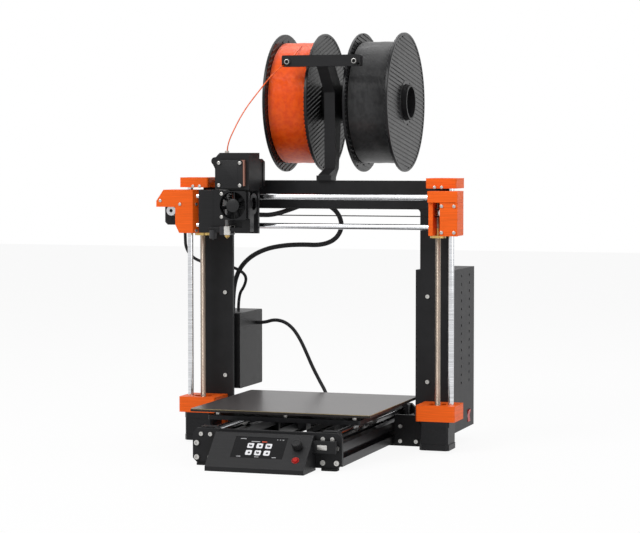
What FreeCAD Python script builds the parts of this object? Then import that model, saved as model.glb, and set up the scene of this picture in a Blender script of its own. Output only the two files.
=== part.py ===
import FreeCAD, Part
import math
import os

# An open-frame filament printer. X runs along the gantry, Y is the way the bed slides, Z is up.
# Everything is laid out from the front face of the upright frame plate (y = 0), its middle (x = 0)
# and the table top (z = 0), then moved so that the origin is the bottom centre of the whole.

# Upright frame plate
frame_w = 370.0
frame_t = 6.0
frame_bottom = 1.0
frame_top = 375.0
leg_w = 45.0
beam_h = 39.5
frame_corner_r = 6.0
toe_h = 44.0
toe_low_h = 34.0
toe_reach = 70.0

# Base: extrusions and the plates across their ends
extrusion_side = 30.0
extrusion_outer_x = 103.0
extrusion_z0 = 5.0
extrusion_front_len = 244.0
extrusion_rear_len = 100.0
extrusion_slot = 8.2
extrusion_slot_depth = 9.0
extrusion_bore = 6.8
plate_t = 6.0
plate_w = 208.0
plate_h = 46.0
plate_chamfer = 6.0
plate_window_w = 110.0
plate_window_h = 20.0
foot_h = 3.0
foot_len = 22.0
foot_w = 14.0

# Screws
m3_shank = 3.0
m3_head_d = 5.6
m3_head_h = 2.4
m4_shank = 4.0
m4_head_d = 7.0
m4_head_h = 3.2
m5_shank = 5.0
m5_head_d = 8.5
m5_head_h = 3.5
screw_depth = 9.0
corner_screw_inset = 5.5
holder_screw_dx = 6.5
holder_screw_z = 41.5
leg_screw_share = 0.75
leg_screw_high_z = 213.0
leg_screw_low_z = 93.0
toe_screw_inset = 9.0
toe_screw_step = 23.0
toe_screw_high_z = 29.0
toe_screw_low_z = 8.0
socket_share = 0.5

# Linear guides
rod_d = 8.0
rod_fit = 0.05
bearing_d = 15.0
bearing_len = 24.0
bearing_groove = 0.5
running_gap = 0.4
belt_w = 6.0
belt_t = 1.4
pulley_r = 5.1
pulley_flange_r = 7.0
pulley_w = 8.0
pulley_flange_t = 1.0
pulley_hub_len = 7.0
idler_bore_r = 2.0

# Stepper motors
motor_side = 42.3
motor_chamfer = 4.0
motor_len = 40.0
motor_boss_r = 11.0
motor_boss_h = 2.0
motor_shaft_r = 2.5
motor_shaft_len = 23.0
motor_screw_pitch = 31.0
motor_cap = 8.0

# Bed and its slide
sheet_w = 254.0
sheet_d = 241.0
sheet_t = 0.8
bed_top = 68.0
bed_front_y = -200.0
heatbed_t = 3.2
standoff_h = 6.0
standoff_d = 6.0
carriage_t = 6.0
carriage_w = 216.0
carriage_d = 208.0
carriage_web = 46.0
y_rod_x = 85.0
y_rod_z = 43.5
y_holder_w = 26.0
y_holder_d = 15.0
y_holder_top = 50.5
y_bearing_front = -126.0
y_bearing_rear = -60.0
y_belt_z = 26.0
y_motor_inset = 30.0
y_idler_inset = 18.0
bed_forward = 74.0
bed_back = 136.0
belt_clamp_w = 12.0
belt_clamp_d = 20.0

# Z axis
z_screw_x = 174.0
z_rod_x = 193.0
z_axis_y = -31.0
z_bracket_h = 22.0
z_bracket_outer_x = 203.5
z_bracket_inner_x = 148.0
z_motor_z0 = 3.5
z_top_h = 14.0
z_top_inner_x = 160.0
z_top_z = 365.0
leadscrew_len = 316.0
nut_flange_r = 11.0
nut_flange_t = 3.5
nut_body_r = 5.1
nut_body_len = 10.0

# Gantry
x_rod_y = -46.0
x_rod_low_z = 311.5
x_rod_high_z = 352.5
x_end_bottom = 300.0
x_end_top = 361.5
x_end_front = -58.0
x_end_rear = -18.5
x_end_outer = 207.0
x_end_inner = 166.5
x_rod_half = 196.0
x_belt_y = -44.0
x_belt_z = 331.5
x_motor_x = -216.0
x_arm_left = -237.5
x_arm_bottom = 317.0
x_arm_top = 348.0
x_arm_front = -55.0
x_flange_t = 4.0
x_idler_x = 186.0
x_cover_t = 3.0
travel_z = 225.0

# Print head
nozzle_x = -120.0
nozzle_y = -76.0
nozzle_z = 294.0
head_left = -2.0
head_right = 241.0
carriage_x0 = -148.0
carriage_x1 = -90.0
carriage_front = -58.0
carriage_back = -34.0
carriage_z0 = 301.0
carriage_z1 = 362.0
extruder_x0 = -128.0
extruder_x1 = -78.0
extruder_z0 = 363.0
extruder_z1 = 414.0
extruder_y0 = -102.0
extruder_motor_len = 38.0
back_plate_t = 6.0
gear_cover_side = 39.0
gear_cover_t = 5.0
gear_axis_x = -104.5
gear_axis_z = 384.4
drive_gear_r = 14.4
drive_gear_t = 7.0
drive_gear_teeth = 24
lever_w = 14.0
lever_pivot_x = -130.0
lever_pivot_z = 370.0
lever_open = 12.0
idler_wheel_r = 4.9
fan_side = 40.0
fan_depth = 11.0
fan_x = -101.0
fan_z = 341.0
fan_y0 = -105.0
fan_bore_r = 19.0
fan_hub_r = 8.0
fan_blades = 7
fan_tip_gap = 0.6
heatsink_r = 11.0
heatsink_len = 26.0
heatsink_core_r = 5.5
heatsink_fins = 9
fin_t = 1.1
heater_w = 16.0
heater_d = 20.0
heater_h = 12.0
nozzle_len = 5.0
nozzle_hex_r = 3.6
blower_r = 15.0
blower_w = 12.0
blower_wall = 1.2
blower_rotor_r = 12.0
blower_vanes = 16
blower_y = -79.0
blower_z = 343.0
blower_inlet_r = 9.0
duct_h = 6.0
duct_reach = 17.0

# Power supply behind the right leg
psu_x0 = 132.0
psu_x1 = 187.0
psu_depth = 119.0
psu_z0 = 20.0
psu_top = 250.0
psu_wall = 1.2
psu_cover_h = 32.0
psu_hole_r = 2.2
psu_hole_pitch = 11.7
psu_hole_rows = 14
inlet_w = 27.0
inlet_h = 20.0
rocker_w = 12.0
rocker_h = 18.0
rocker_pivot_in = 1.3
rocker_pivot_r = 1.1

# Electronics case behind the left leg
ebox_x0 = -178.0
ebox_x1 = -135.0
ebox_y0 = 16.0
ebox_y1 = 112.0
ebox_z0 = 72.0
ebox_z1 = 182.0
ebox_wall = 2.0
board_t = 1.6

# Display unit at the front
lcd_half_w = 68.0
lcd_depth = 50.0
lcd_front_h = 6.0
lcd_back_h = 46.0
lcd_wall = 2.5
lcd_top_flat = 8.0
screen_w = 72.0
screen_h = 35.0
screen_t = 3.0
screen_x = -1.5
screen_up = 5.5
knob_r = 7.0
knob_h = 9.0
knob_x = 51.0
knob_up = 9.0
knob_lift = 1.4
knob_roof = 2.0
encoder_r = 3.0
encoder_inside = 5.0
reset_r = 3.0
reset_x = 53.0
reset_up = -12.7
reset_out = 1.6
reset_travel = 1.0
knob_travel = 0.8
usb_len = 31.0
usb_h = 16.0
usb_t = 8.0
usb_z0 = 24.0

# Spool holder and spools
spool_axis_y = 95.0
spool_axis_z = 487.0
spool_r = 100.5
spool_width = 66.5
spool_inner_x = 26.5
spool_flange_t = 3.0
spool_barrel_r = 40.0
spool_bore_r = 26.0
spool_ribs = 9
spool_rib_w = 2.4
spool_rib_h = 1.0
spool_window_r = 11.0
winding_r = 88.0
arm_r = 25.3
arm_wall = 3.0
arm_tip = 100.0
holder_w = 16.0
holder_foot_w = 22.0
guide_half = 58.0
guide_z = 543.5
guide_y = -14.0
guide_h = 16.0
guide_d = 12.0
boss_r = 30.0
guide_screw_x = 49.5
filament_eye_x = 55.3
filament_eye_z = 538.2
filament_eye_r = 2.0

# Loose lines
cable_r = 3.4
bed_cable_r = 2.6
motor_cable_r = 2.2
filament_r = 0.875

radii_shown = []
nodes = {}


def box(x0, x1, y0, y1, z0, z1):
    return Part.makeBox(x1 - x0, y1 - y0, z1 - z0, FreeCAD.Vector(x0, y0, z0))


def rod(x, y, z, radius, length, direction="z"):
    along = {"x": (1, 0, 0), "y": (0, 1, 0), "z": (0, 0, 1)}[direction]
    return Part.makeCylinder(radius, length, FreeCAD.Vector(x, y, z), FreeCAD.Vector(*along))


def tube(x, y, z, outer, inner, length, direction="z"):
    return rod(x, y, z, outer, length, direction).cut(rod(x, y, z, inner, length, direction))


def prism(points, thickness, plane="xz"):
    # A closed outline pushed straight: plane xz goes along +Y, yz along +X and xy along +Z.
    along = {"xz": (0, 1, 0), "yz": (1, 0, 0), "xy": (0, 0, 1)}[plane]
    corners = [FreeCAD.Vector(*point) for point in points]
    face = Part.Face(Part.makePolygon(corners + [corners[0]]))
    return face.extrude(FreeCAD.Vector(*along) * thickness)


def rounded(shape, radius, direction="z"):
    along = {"x": (1, 0, 0), "y": (0, 1, 0), "z": (0, 0, 1)}[direction]
    chosen = [edge for edge in shape.Edges if is_along(edge, along)]
    return shape.makeFillet(radius, chosen)


def is_along(edge, along):
    if len(edge.Vertexes) < 2:
        return False
    step = edge.Vertexes[1].Point - edge.Vertexes[0].Point
    return abs(abs(step.normalize().dot(FreeCAD.Vector(*along))) - 1.0) < 1e-6


def group(shapes):
    return Part.makeCompound(shapes)


def mirrored(shape):
    return shape.mirror(FreeCAD.Vector(0, 0, 0), FreeCAD.Vector(1, 0, 0))


def cap_screw(x, y, z, shank_d, head_d, head_h, direction, length=screw_depth):
    # A socket cap screw whose head rests at (x, y, z) and points back along direction.
    way = FreeCAD.Vector(*direction)
    seat = FreeCAD.Vector(x, y, z)
    head = Part.makeCylinder(head_d / 2, head_h, seat, way * -1)
    socket = Part.makeCylinder(head_d * socket_share / 2, head_h / 2, seat - way * head_h, way)
    shank = Part.makeCylinder(shank_d / 2, length, seat, way)
    return head.cut(socket).fuse(shank)


def screw_hole(x, y, z, shank_d, direction, length=screw_depth):
    start = FreeCAD.Vector(x, y, z)
    return Part.makeCylinder(shank_d / 2, length, start, FreeCAD.Vector(*direction))


def motor(x, y, z, length=motor_len, shaft_len=motor_shaft_len):
    # The mounting face lies at (x, y, z) and the shaft points along +Z.
    half = motor_side / 2
    body = box(x - half, x + half, y - half, y + half, z - length, z)
    corners = [edge for edge in body.Edges if is_along(edge, (0, 0, 1))]
    body = body.makeChamfer(motor_chamfer, corners)
    waist = box(x - half, x + half, y - half, y + half, z - length + motor_cap, z - motor_cap)
    core = box(x - half + 1, x + half - 1, y - half + 1, y + half - 1, z - length, z)
    body = body.cut(waist.cut(core))
    body = body.fuse(rod(x, y, z, motor_boss_r, motor_boss_h))
    return body.fuse(rod(x, y, z, motor_shaft_r, shaft_len)) if shaft_len else body


def turned(shape, x, y, z, axis, angle):
    copy = shape.copy()
    copy.rotate(FreeCAD.Vector(x, y, z), FreeCAD.Vector(*axis), angle)
    return copy


def pulley(x, y, z, bore_r):
    # A toothed belt pulley along +X from x, its hub after its flanges.
    belt_part = rod(x, y, z, pulley_r - belt_t / 2 - rod_fit, pulley_w, "x")
    flanges = [rod(x + at, y, z, pulley_flange_r, pulley_flange_t, "x")
               for at in (0.0, pulley_w - pulley_flange_t)]
    hub = rod(x + pulley_w, y, z, pulley_flange_r, pulley_hub_len, "x")
    bore = rod(x, y, z, bore_r, pulley_w + pulley_hub_len, "x")
    return belt_part.fuse(flanges + [hub]).cut(bore)


def idler(x, y, z, bore_r):
    # A plain belt idler with two flanges, along +X from x.
    drum = rod(x, y, z, pulley_r - belt_t / 2 - rod_fit, pulley_w, "x")
    flanges = [rod(x + at, y, z, pulley_flange_r, pulley_flange_t, "x")
               for at in (0.0, pulley_w - pulley_flange_t)]
    return drum.fuse(flanges).cut(rod(x, y, z, bore_r, pulley_w, "x"))


def belt_loop(start, end, across_from):
    # A closed belt between two pulley centres that lie apart along one horizontal axis.
    def slab(radius):
        width = FreeCAD.Vector(*across_from[1]) * belt_w
        low = FreeCAD.Vector(*across_from[0])
        run = end - start
        side = FreeCAD.Vector(0, 0, 1) * radius
        way = run.normalize() if run.Length else run
        run = end - start
        arcs = [
            Part.LineSegment(low + start + side, low + end + side),
            Part.Arc(low + end + side, low + end + way * radius, low + end - side),
            Part.LineSegment(low + end - side, low + start - side),
            Part.Arc(low + start - side, low + start - way * radius, low + start + side),
        ]
        wire = Part.Wire([piece.toShape() for piece in arcs])
        return Part.Face(wire).extrude(width)
    return slab(pulley_r + belt_t / 2).cut(slab(pulley_r - belt_t / 2))


def cord(points, radius, name):
    # Straight runs joined by tangent arcs, as large as each pair of runs allows.
    spots = [FreeCAD.Vector(*point) for point in points]
    edges = []
    last = spots[0]
    for before, here, after in zip(spots, spots[1:], spots[2:]):
        come = (here - before).normalize()
        go = (after - here).normalize()
        half_turn = come.getAngle(go) / 2
        reach = 0.45 * min((here - before).Length, (after - here).Length)
        bend = reach / math.tan(half_turn)
        radii_shown.append((name, bend / (2 * radius)))
        enter = here - come * reach
        leave = here + go * reach
        inward = (go - come).normalize()
        centre = here + inward * (bend / math.cos(half_turn))
        middle = centre - inward * bend
        edges.append(Part.LineSegment(last, enter).toShape())
        edges.append(Part.Arc(enter, middle, leave).toShape())
        last = leave
    edges.append(Part.LineSegment(last, spots[-1]).toShape())
    path = Part.Wire(edges)
    way = (spots[1] - spots[0]).normalize()
    circle = Part.Wire([Part.Circle(spots[0], way, radius).toShape()])
    solid = path.makePipeShell([circle], True, False)
    expected = math.pi * radius ** 2 * path.Length
    print(name, "length", round(path.Length, 1), "volume ratio", round(solid.Volume / expected, 4))
    return solid


# Derived places
frame_half = frame_w / 2
opening_half = frame_half - leg_w
beam_bottom = frame_top - beam_h
front_plate_y = -extrusion_front_len - plate_t
rear_plate_y = frame_t + extrusion_rear_len
extrusion_x0 = extrusion_outer_x - extrusion_side
extrusion_z1 = extrusion_z0 + extrusion_side
plate_z0 = foot_h
y_motor_y = rear_plate_y - y_motor_inset
y_idler_y = front_plate_y + plate_t + y_idler_inset
lcd_front_y = front_plate_y - lcd_depth
motor_half = motor_side / 2
z_motor_top = z_motor_z0 + motor_len
z_bracket_top = z_motor_top + z_bracket_h
sheet_z = bed_top - sheet_t
heatbed_z = sheet_z - heatbed_t
carriage_top = heatbed_z - standoff_h
carriage_z = carriage_top - carriage_t
bed_rear_y = bed_front_y + sheet_d
bed_mid_y = (bed_front_y + bed_rear_y) / 2


def frame_plate():
    plate = box(-frame_half, frame_half, 0, frame_t, frame_bottom, frame_top)
    plate = rounded(plate, frame_corner_r, "y")
    opening = box(-opening_half, opening_half, 0, frame_t, frame_bottom + toe_h, beam_bottom)
    opening = rounded(opening, frame_corner_r, "y")
    mid = box(-extrusion_outer_x, extrusion_outer_x, 0, frame_t,
              frame_bottom + toe_low_h, frame_bottom + toe_h)
    low = box(-toe_reach, toe_reach, 0, frame_t, frame_bottom, frame_bottom + toe_h)
    plate = plate.cut(opening).cut(mid).cut(low)
    return plate.cut(group([frame_screw_hole(*spot) for spot in frame_screw_spots()]))


def frame_screw_spots():
    # Screws through the legs into what they carry, and three through each toe beside the extrusion.
    leg_x = frame_half - leg_w * leg_screw_share
    toe_x = extrusion_outer_x + toe_screw_inset
    spots = [(leg_x, leg_screw_high_z), (leg_x, leg_screw_low_z), (toe_x, toe_screw_high_z),
             (toe_x, toe_screw_low_z), (toe_x + toe_screw_step, toe_screw_low_z)]
    return [(sign * x, z) for sign in (-1, 1) for x, z in spots]


def frame_screw_hole(x, z):
    return screw_hole(x, 0, z, m3_shank + 2 * rod_fit, (0, 1, 0), frame_t)


def extrusion(y0, length):
    x1 = extrusion_outer_x
    body = box(extrusion_x0, x1, y0, y0 + length, extrusion_z0, extrusion_z1)
    mid_x = (extrusion_x0 + x1) / 2
    mid_z = (extrusion_z0 + extrusion_z1) / 2
    half_slot = extrusion_slot / 2
    cuts = [
        box(mid_x - half_slot, mid_x + half_slot, y0, y0 + length, extrusion_z0,
            extrusion_z0 + extrusion_slot_depth),
        box(mid_x - half_slot, mid_x + half_slot, y0, y0 + length,
            extrusion_z1 - extrusion_slot_depth, extrusion_z1),
        box(extrusion_x0, extrusion_x0 + extrusion_slot_depth, y0, y0 + length,
            mid_z - half_slot, mid_z + half_slot),
        box(x1 - extrusion_slot_depth, x1, y0, y0 + length, mid_z - half_slot, mid_z + half_slot),
        rod(mid_x, y0, mid_z, extrusion_bore / 2, length, "y"),
    ]
    return body.cut(group(cuts))


def extrusions():
    front = extrusion(-extrusion_front_len, extrusion_front_len)
    rear = extrusion(frame_t, extrusion_rear_len)
    pair = [front.cut(end_screw_holes(-extrusion_front_len, screw_depth)),
            rear.cut(end_screw_holes(rear_plate_y - screw_depth, screw_depth))]
    return group(pair + [mirrored(piece) for piece in pair])


def end_plate(y0):
    half = plate_w / 2
    plate = box(-half, half, y0, y0 + plate_t, plate_z0, plate_z0 + plate_h)
    upright = [edge for edge in plate.Edges if is_along(edge, (0, 1, 0))]
    plate = plate.makeChamfer(plate_chamfer, upright)
    window = box(-plate_window_w / 2, plate_window_w / 2, y0, y0 + plate_t,
                 y_belt_z - plate_window_h / 2, y_belt_z + plate_window_h / 2)
    window = rounded(window, frame_corner_r, "y")
    return plate.cut(window).cut(end_screw_holes(y0, plate_t))


def extrusion_screw_spots():
    # Three screws into the corner webs of each extrusion; its inner top corner has none.
    mid_x = extrusion_x0 + extrusion_side / 2
    mid_z = extrusion_z0 + extrusion_side / 2
    off = extrusion_side / 2 - corner_screw_inset
    right = [(mid_x - off, mid_z - off), (mid_x + off, mid_z - off), (mid_x + off, mid_z + off)]
    return [(sign * x, z) for sign in (-1, 1) for x, z in right]


def holder_screw_spots():
    # Two small screws into the block that holds each bed rod.
    return [(sign * (y_rod_x + dx), holder_screw_z) for sign in (-1, 1)
            for dx in (-holder_screw_dx, holder_screw_dx)]


def plate_screw_spots():
    spots = [(x, z, m4_shank, m4_head_d, m4_head_h) for x, z in extrusion_screw_spots()]
    return spots + [(x, z, m3_shank, m3_head_d, m3_head_h) for x, z in holder_screw_spots()]


def end_screw_holes(y0, length):
    # Bores for the screws of an end plate, in what lies behind it.
    return group([screw_hole(x, y0, z, size + 2 * rod_fit, (0, 1, 0), length)
                  for x, z, size, _, _ in plate_screw_spots()])


def end_plates():
    return group([end_plate(front_plate_y), end_plate(rear_plate_y)])


def rubber_feet():
    feet = []
    x1 = plate_w / 2 - plate_chamfer
    for y in (front_plate_y + plate_t / 2, rear_plate_y + plate_t / 2):
        foot = box(x1 - foot_len, x1, y - foot_w / 2, y + foot_w / 2, 0, foot_h)
        feet += [rounded(foot, foot_h, "z"), mirrored(rounded(foot, foot_h, "z"))]
    return group(feet)


def frame_screws():
    screws = []
    length = plate_t + screw_depth
    back = rear_plate_y + plate_t
    for x, z, size, head_d, head_h in plate_screw_spots():
        screws.append(cap_screw(x, front_plate_y, z, size, head_d, head_h, (0, 1, 0), length))
        screws.append(cap_screw(x, back, z, size, head_d, head_h, (0, -1, 0), length))
    for x, z in frame_screw_spots():
        screws.append(cap_screw(x, 0, z, m3_shank, m3_head_d, m3_head_h, (0, 1, 0), frame_t))
    return group(screws)


def y_rods():
    length = rear_plate_y - (front_plate_y + plate_t) - 4 * running_gap
    y0 = front_plate_y + plate_t + 2 * running_gap
    return group([rod(sign * y_rod_x, y0, y_rod_z, rod_d / 2, length, "y") for sign in (-1, 1)])


def y_rod_holder(y0):
    half = y_holder_w / 2
    block = box(y_rod_x - half, y_rod_x + half, y0, y0 + y_holder_d, extrusion_z1, y_holder_top)
    top = [edge for edge in block.Edges
           if is_along(edge, (0, 1, 0)) and edge.Vertexes[0].Z > y_rod_z]
    block = block.makeChamfer(plate_chamfer / 2, top)
    block = block.cut(rod(y_rod_x, y0, y_rod_z, rod_d / 2 + rod_fit, y_holder_d, "y"))
    return block.cut(end_screw_holes(y0, y_holder_d))


def y_belt_bracket(y0, y1, axle_y, reach):
    # A fork that carries the axle of the belt idler.
    cheeks = []
    outer = pulley_w / 2 + running_gap
    for sign in (-1, 1):
        x0, x1 = sorted((sign * outer, sign * (outer + plate_t)))
        cheeks.append(box(x0, x1, y0, y1, y_belt_z - reach, y_belt_z + reach))
    back = box(-outer, outer, y0, y0 + 4.0, y_belt_z - reach, y_belt_z + reach)
    axle = rod(-outer - plate_t, axle_y, y_belt_z, idler_bore_r - rod_fit,
               2 * (outer + plate_t), "x")
    return cheeks[0].fuse([cheeks[1], back, axle])


def y_motor_bracket():
    face_x = -pulley_w / 2 - motor_boss_h - running_gap
    half = motor_half + 1.0
    plate = box(face_x, face_x + plate_t / 2, y_motor_y - half, rear_plate_y,
                extrusion_z0, y_belt_z + half)
    boss = rod(face_x, y_motor_y, y_belt_z, motor_boss_r + 2 * rod_fit, plate_t, "x")
    return plate.cut(boss)


def y_holders():
    ends = [y_rod_holder(front_plate_y + plate_t), y_rod_holder(rear_plate_y - y_holder_d)]
    ends += [mirrored(piece) for piece in ends]
    y0 = front_plate_y + plate_t
    front = y_belt_bracket(y0, y_idler_y + pulley_flange_r, y_idler_y, pulley_flange_r + 2.0)
    return group(ends + [front, y_motor_bracket()])


def y_motor_shape():
    face_x = -pulley_w / 2 - motor_boss_h - running_gap
    shape = motor(0, 0, 0, motor_len, motor_shaft_len)
    shape = turned(shape, 0, 0, 0, (0, 1, 0), 90)
    shape.translate(FreeCAD.Vector(face_x, y_motor_y, y_belt_z))
    return shape


def base_motors():
    shape = motor(z_screw_x, z_axis_y, z_motor_top, motor_len, 0)
    return group([shape, mirrored(shape), y_motor_shape()])


def y_belt():
    start = FreeCAD.Vector(0, y_idler_y, y_belt_z)
    end = FreeCAD.Vector(0, y_motor_y, y_belt_z)
    return belt_loop(start, end, ((-belt_w / 2, 0, 0), (1, 0, 0)))


def z_bracket():
    y0 = z_axis_y - motor_half
    x0 = z_bracket_inner_x
    block = box(x0, z_bracket_outer_x, y0, 0, z_motor_top, z_bracket_top)
    block = rounded(block, 3.0, "z")
    gusset = box(x0, x0 + 5.0, -12.0, 0, z_motor_z0 + 8.0, z_bracket_top)
    block = block.fuse(gusset)
    screw_bore = rod(z_screw_x, z_axis_y, z_motor_top, motor_boss_r + 2.0, z_bracket_h)
    rod_bore = rod(z_rod_x, z_axis_y, z_motor_top + 4.0, rod_d / 2 + rod_fit, z_bracket_h)
    return block.cut(screw_bore).cut(rod_bore)


def z_top():
    y0 = z_axis_y - 15.0
    block = box(z_top_inner_x, z_bracket_outer_x, y0, 0, z_top_z, z_top_z + z_top_h)
    block = rounded(block, 3.0, "z")
    cap = box(z_top_inner_x, frame_half - 6.0, -frame_t, 2 * frame_t, frame_top + 0.1,
              z_top_z + z_top_h)
    bore = rod(z_rod_x, z_axis_y, z_top_z, rod_d / 2 + rod_fit, z_top_h - 3.0)
    return block.fuse(cap).cut(bore)


def z_brackets():
    pair = [z_bracket(), z_top()]
    return group(pair + [mirrored(piece) for piece in pair])


def z_rods():
    z0 = z_motor_top + 4.0
    shape = rod(z_rod_x, z_axis_y, z0, rod_d / 2, z_top_z + z_top_h - 3.0 - z0)
    return group([shape, mirrored(shape)])


def leadscrew(sign):
    # Thread shown as rings: a core with a raised land once a pitch.
    x = sign * z_screw_x
    z0 = z_motor_top + motor_boss_h + running_gap
    core = rod(x, z_axis_y, z0, rod_d / 2 - 0.6, leadscrew_len)
    lands = []
    pitch = 8.0
    for turn in range(int(leadscrew_len / pitch)):
        lands.append(rod(x, z_axis_y, z0 + pitch * (turn + 0.25), rod_d / 2, pitch / 2))
    return core.fuse(lands)


def y_bearing(x, y):
    return tube(x, y - bearing_len / 2, y_rod_z, bearing_d / 2, rod_d / 2 + rod_fit, bearing_len, "y")


def y_bearings():
    # Two bearings on the right rod and one on the left, each held up by a saddle under the plate.
    shapes = []
    middle = (y_bearing_front + y_bearing_rear) / 2
    for x, y in ((y_rod_x, y_bearing_front), (y_rod_x, y_bearing_rear), (-y_rod_x, middle)):
        bearing = y_bearing(x, y)
        saddle = box(x - bearing_d / 2, x + bearing_d / 2, y - bearing_len / 2,
                     y + bearing_len / 2, y_rod_z + 1.0, carriage_z)
        saddle = saddle.cut(rod(x, y - bearing_len, y_rod_z, bearing_d / 2, 2 * bearing_len, "y"))
        shapes += [bearing, saddle]
    return group(shapes)


def y_carriage():
    half = carriage_w / 2
    y0 = bed_mid_y - carriage_d / 2
    y1 = bed_mid_y + carriage_d / 2
    plate = box(-half, half, y0, y1, carriage_z, carriage_top)
    side = (carriage_w - 3 * carriage_web) / 2
    for sign in (-1, 1):
        x0, x1 = sorted((sign * carriage_web / 2, sign * (carriage_web / 2 + side)))
        window = box(x0, x1, y0 + carriage_web, y1 - carriage_web, carriage_z, carriage_top)
        plate = plate.cut(rounded(window, frame_corner_r, "z"))
    plate = rounded(plate, frame_corner_r / 2, "z")
    clamp_y = (y_bearing_front + y_bearing_rear) / 2
    low = y_belt_z + pulley_r + belt_t / 2 + running_gap
    clamp = box(-belt_clamp_w / 2, belt_clamp_w / 2, clamp_y - belt_clamp_d / 2,
                clamp_y + belt_clamp_d / 2, low, carriage_z)
    return group([plate, clamp])


def standoff_spots():
    inset = 22.0
    xs = (-carriage_w / 2 + inset / 2, 0.0, carriage_w / 2 - inset / 2)
    depth = carriage_d / 2 - inset / 2
    return [(x, bed_mid_y + dy) for x in xs for dy in (-depth, 0.0, depth)]


def bed_standoffs():
    return group([rod(x, y, carriage_top, standoff_d / 2, standoff_h) for x, y in standoff_spots()])


def heatbed():
    half = sheet_w / 2
    body = box(-half, half, bed_front_y, bed_rear_y, heatbed_z, sheet_z)
    notch = box(-18.0, 18.0, bed_rear_y, bed_rear_y + 7.0, heatbed_z, sheet_z)
    clamp = box(-30.0, 6.0, bed_rear_y - 2.0, bed_rear_y + 12.0, heatbed_z - 5.0, heatbed_z)
    return body.fuse(notch).fuse(clamp)


def print_sheet():
    half = sheet_w / 2
    sheet = box(-half, half, bed_front_y, bed_rear_y, sheet_z, bed_top)
    corners = [edge for edge in sheet.Edges if is_along(edge, (0, 0, 1))]
    return sheet.makeFillet(3.0, corners)


def x_end_bores(sign):
    bores = [
        rod(sign * z_rod_x, z_axis_y, x_end_bottom, bearing_d / 2 + rod_fit, x_end_top - x_end_bottom),
        rod(sign * z_screw_x, z_axis_y, x_end_bottom, nut_body_r + rod_fit, nut_body_len),
        rod(sign * z_screw_x, z_axis_y, x_end_bottom, rod_d / 2 + 1.0, x_end_top - x_end_bottom),
    ]
    for z in (x_rod_low_z, x_rod_high_z):
        x0 = min(sign * x_end_inner, sign * x_rod_half)
        bores.append(rod(x0, x_rod_y, z, rod_d / 2 + rod_fit, x_rod_half - x_end_inner, "x"))
    return bores


def belt_slot(x0, x1):
    # The gap that the belt and its wheels run in, open to the front.
    tall = pulley_flange_r + 1.0
    return box(x0, x1, x_end_front, x_belt_y + belt_w / 2 + pulley_flange_t + 1.0,
               x_belt_z - tall, x_belt_z + tall)


def x_end_idler():
    block = box(x_end_inner, x_end_outer, x_end_front, x_end_rear, x_end_bottom, x_end_top)
    block = rounded(block, 3.0, "z")
    block = block.cut(belt_slot(x_end_inner, x_end_outer)).cut(group(x_end_bores(1)))
    cover = box(x_end_inner + 13.0, x_end_outer, x_end_front - x_cover_t, x_end_front,
                x_end_bottom + 1.0, x_end_top - 12.0)
    return group([block, cover, x_idler_axle()])


def x_idler_axle():
    y0 = x_end_front
    y1 = x_belt_y + belt_w / 2 + pulley_flange_t + 1.0
    return rod(x_idler_x, y0, x_belt_z, idler_bore_r - rod_fit, y1 - y0, "y")


def x_end_motor():
    block = box(-x_end_outer, -x_end_inner, x_end_front, x_end_rear, x_end_bottom, x_end_top)
    block = rounded(block, 3.0, "z")
    arm = box(x_arm_left, -x_end_outer + 5.0, x_arm_front, x_end_rear, x_arm_bottom, x_arm_top)
    corner = [edge for edge in arm.Edges
              if is_along(edge, (0, 1, 0)) and edge.Vertexes[0].X < x_arm_left + 1.0]
    arm = arm.makeChamfer(6.0, corner)
    hollow = box(x_arm_left + 6.0, -x_end_outer + 5.0, x_arm_front, x_end_rear - x_flange_t,
                 x_arm_bottom + 4.0, x_arm_top - 4.0)
    slot = belt_slot(x_arm_left + 6.0, -x_end_inner)
    shape = block.fuse(arm).cut(hollow).cut(slot).cut(group(x_end_bores(-1)))
    boss = rod(x_motor_x, x_end_rear - x_flange_t - 1.0, x_belt_z, motor_boss_r + 0.2,
               x_flange_t + 2.0, "y")
    return shape.cut(boss)


def x_rods():
    shapes = [rod(-x_rod_half, x_rod_y, z, rod_d / 2, 2 * x_rod_half, "x")
              for z in (x_rod_low_z, x_rod_high_z)]
    return group(shapes)


def x_motor():
    shape = motor(0, 0, 0, motor_len, motor_shaft_len + x_flange_t)
    shape = turned(shape, 0, 0, 0, (1, 0, 0), 90)
    shape.translate(FreeCAD.Vector(x_motor_x, x_end_rear, x_belt_z))
    return shape


def on_y_axis(shape, x, y, z):
    # Lay a wheel that was built along +X at the origin so that it runs along +Y from y.
    copy = turned(shape, 0, 0, 0, (0, 0, 1), 90)
    copy.translate(FreeCAD.Vector(x, y, z))
    return copy


def x_pulley():
    y0 = x_belt_y - pulley_w / 2
    return on_y_axis(pulley(0, 0, 0, motor_shaft_r + rod_fit), x_motor_x, y0, x_belt_z)


def x_idler():
    y0 = x_belt_y - pulley_w / 2
    return on_y_axis(idler(0, 0, 0, idler_bore_r), x_idler_x, y0, x_belt_z)


def x_belt():
    start = FreeCAD.Vector(x_motor_x, 0, x_belt_z)
    end = FreeCAD.Vector(x_idler_x, 0, x_belt_z)
    return belt_loop(start, end, ((0, x_belt_y - belt_w / 2, 0), (0, 1, 0)))


def z_bearings():
    shapes = []
    for sign in (-1, 1):
        for z0 in (x_end_bottom + 2.0, x_end_top - bearing_len - 2.0):
            shapes.append(tube(sign * z_rod_x, z_axis_y, z0, bearing_d / 2, rod_d / 2 + rod_fit,
                               bearing_len))
    return group(shapes)


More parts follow.
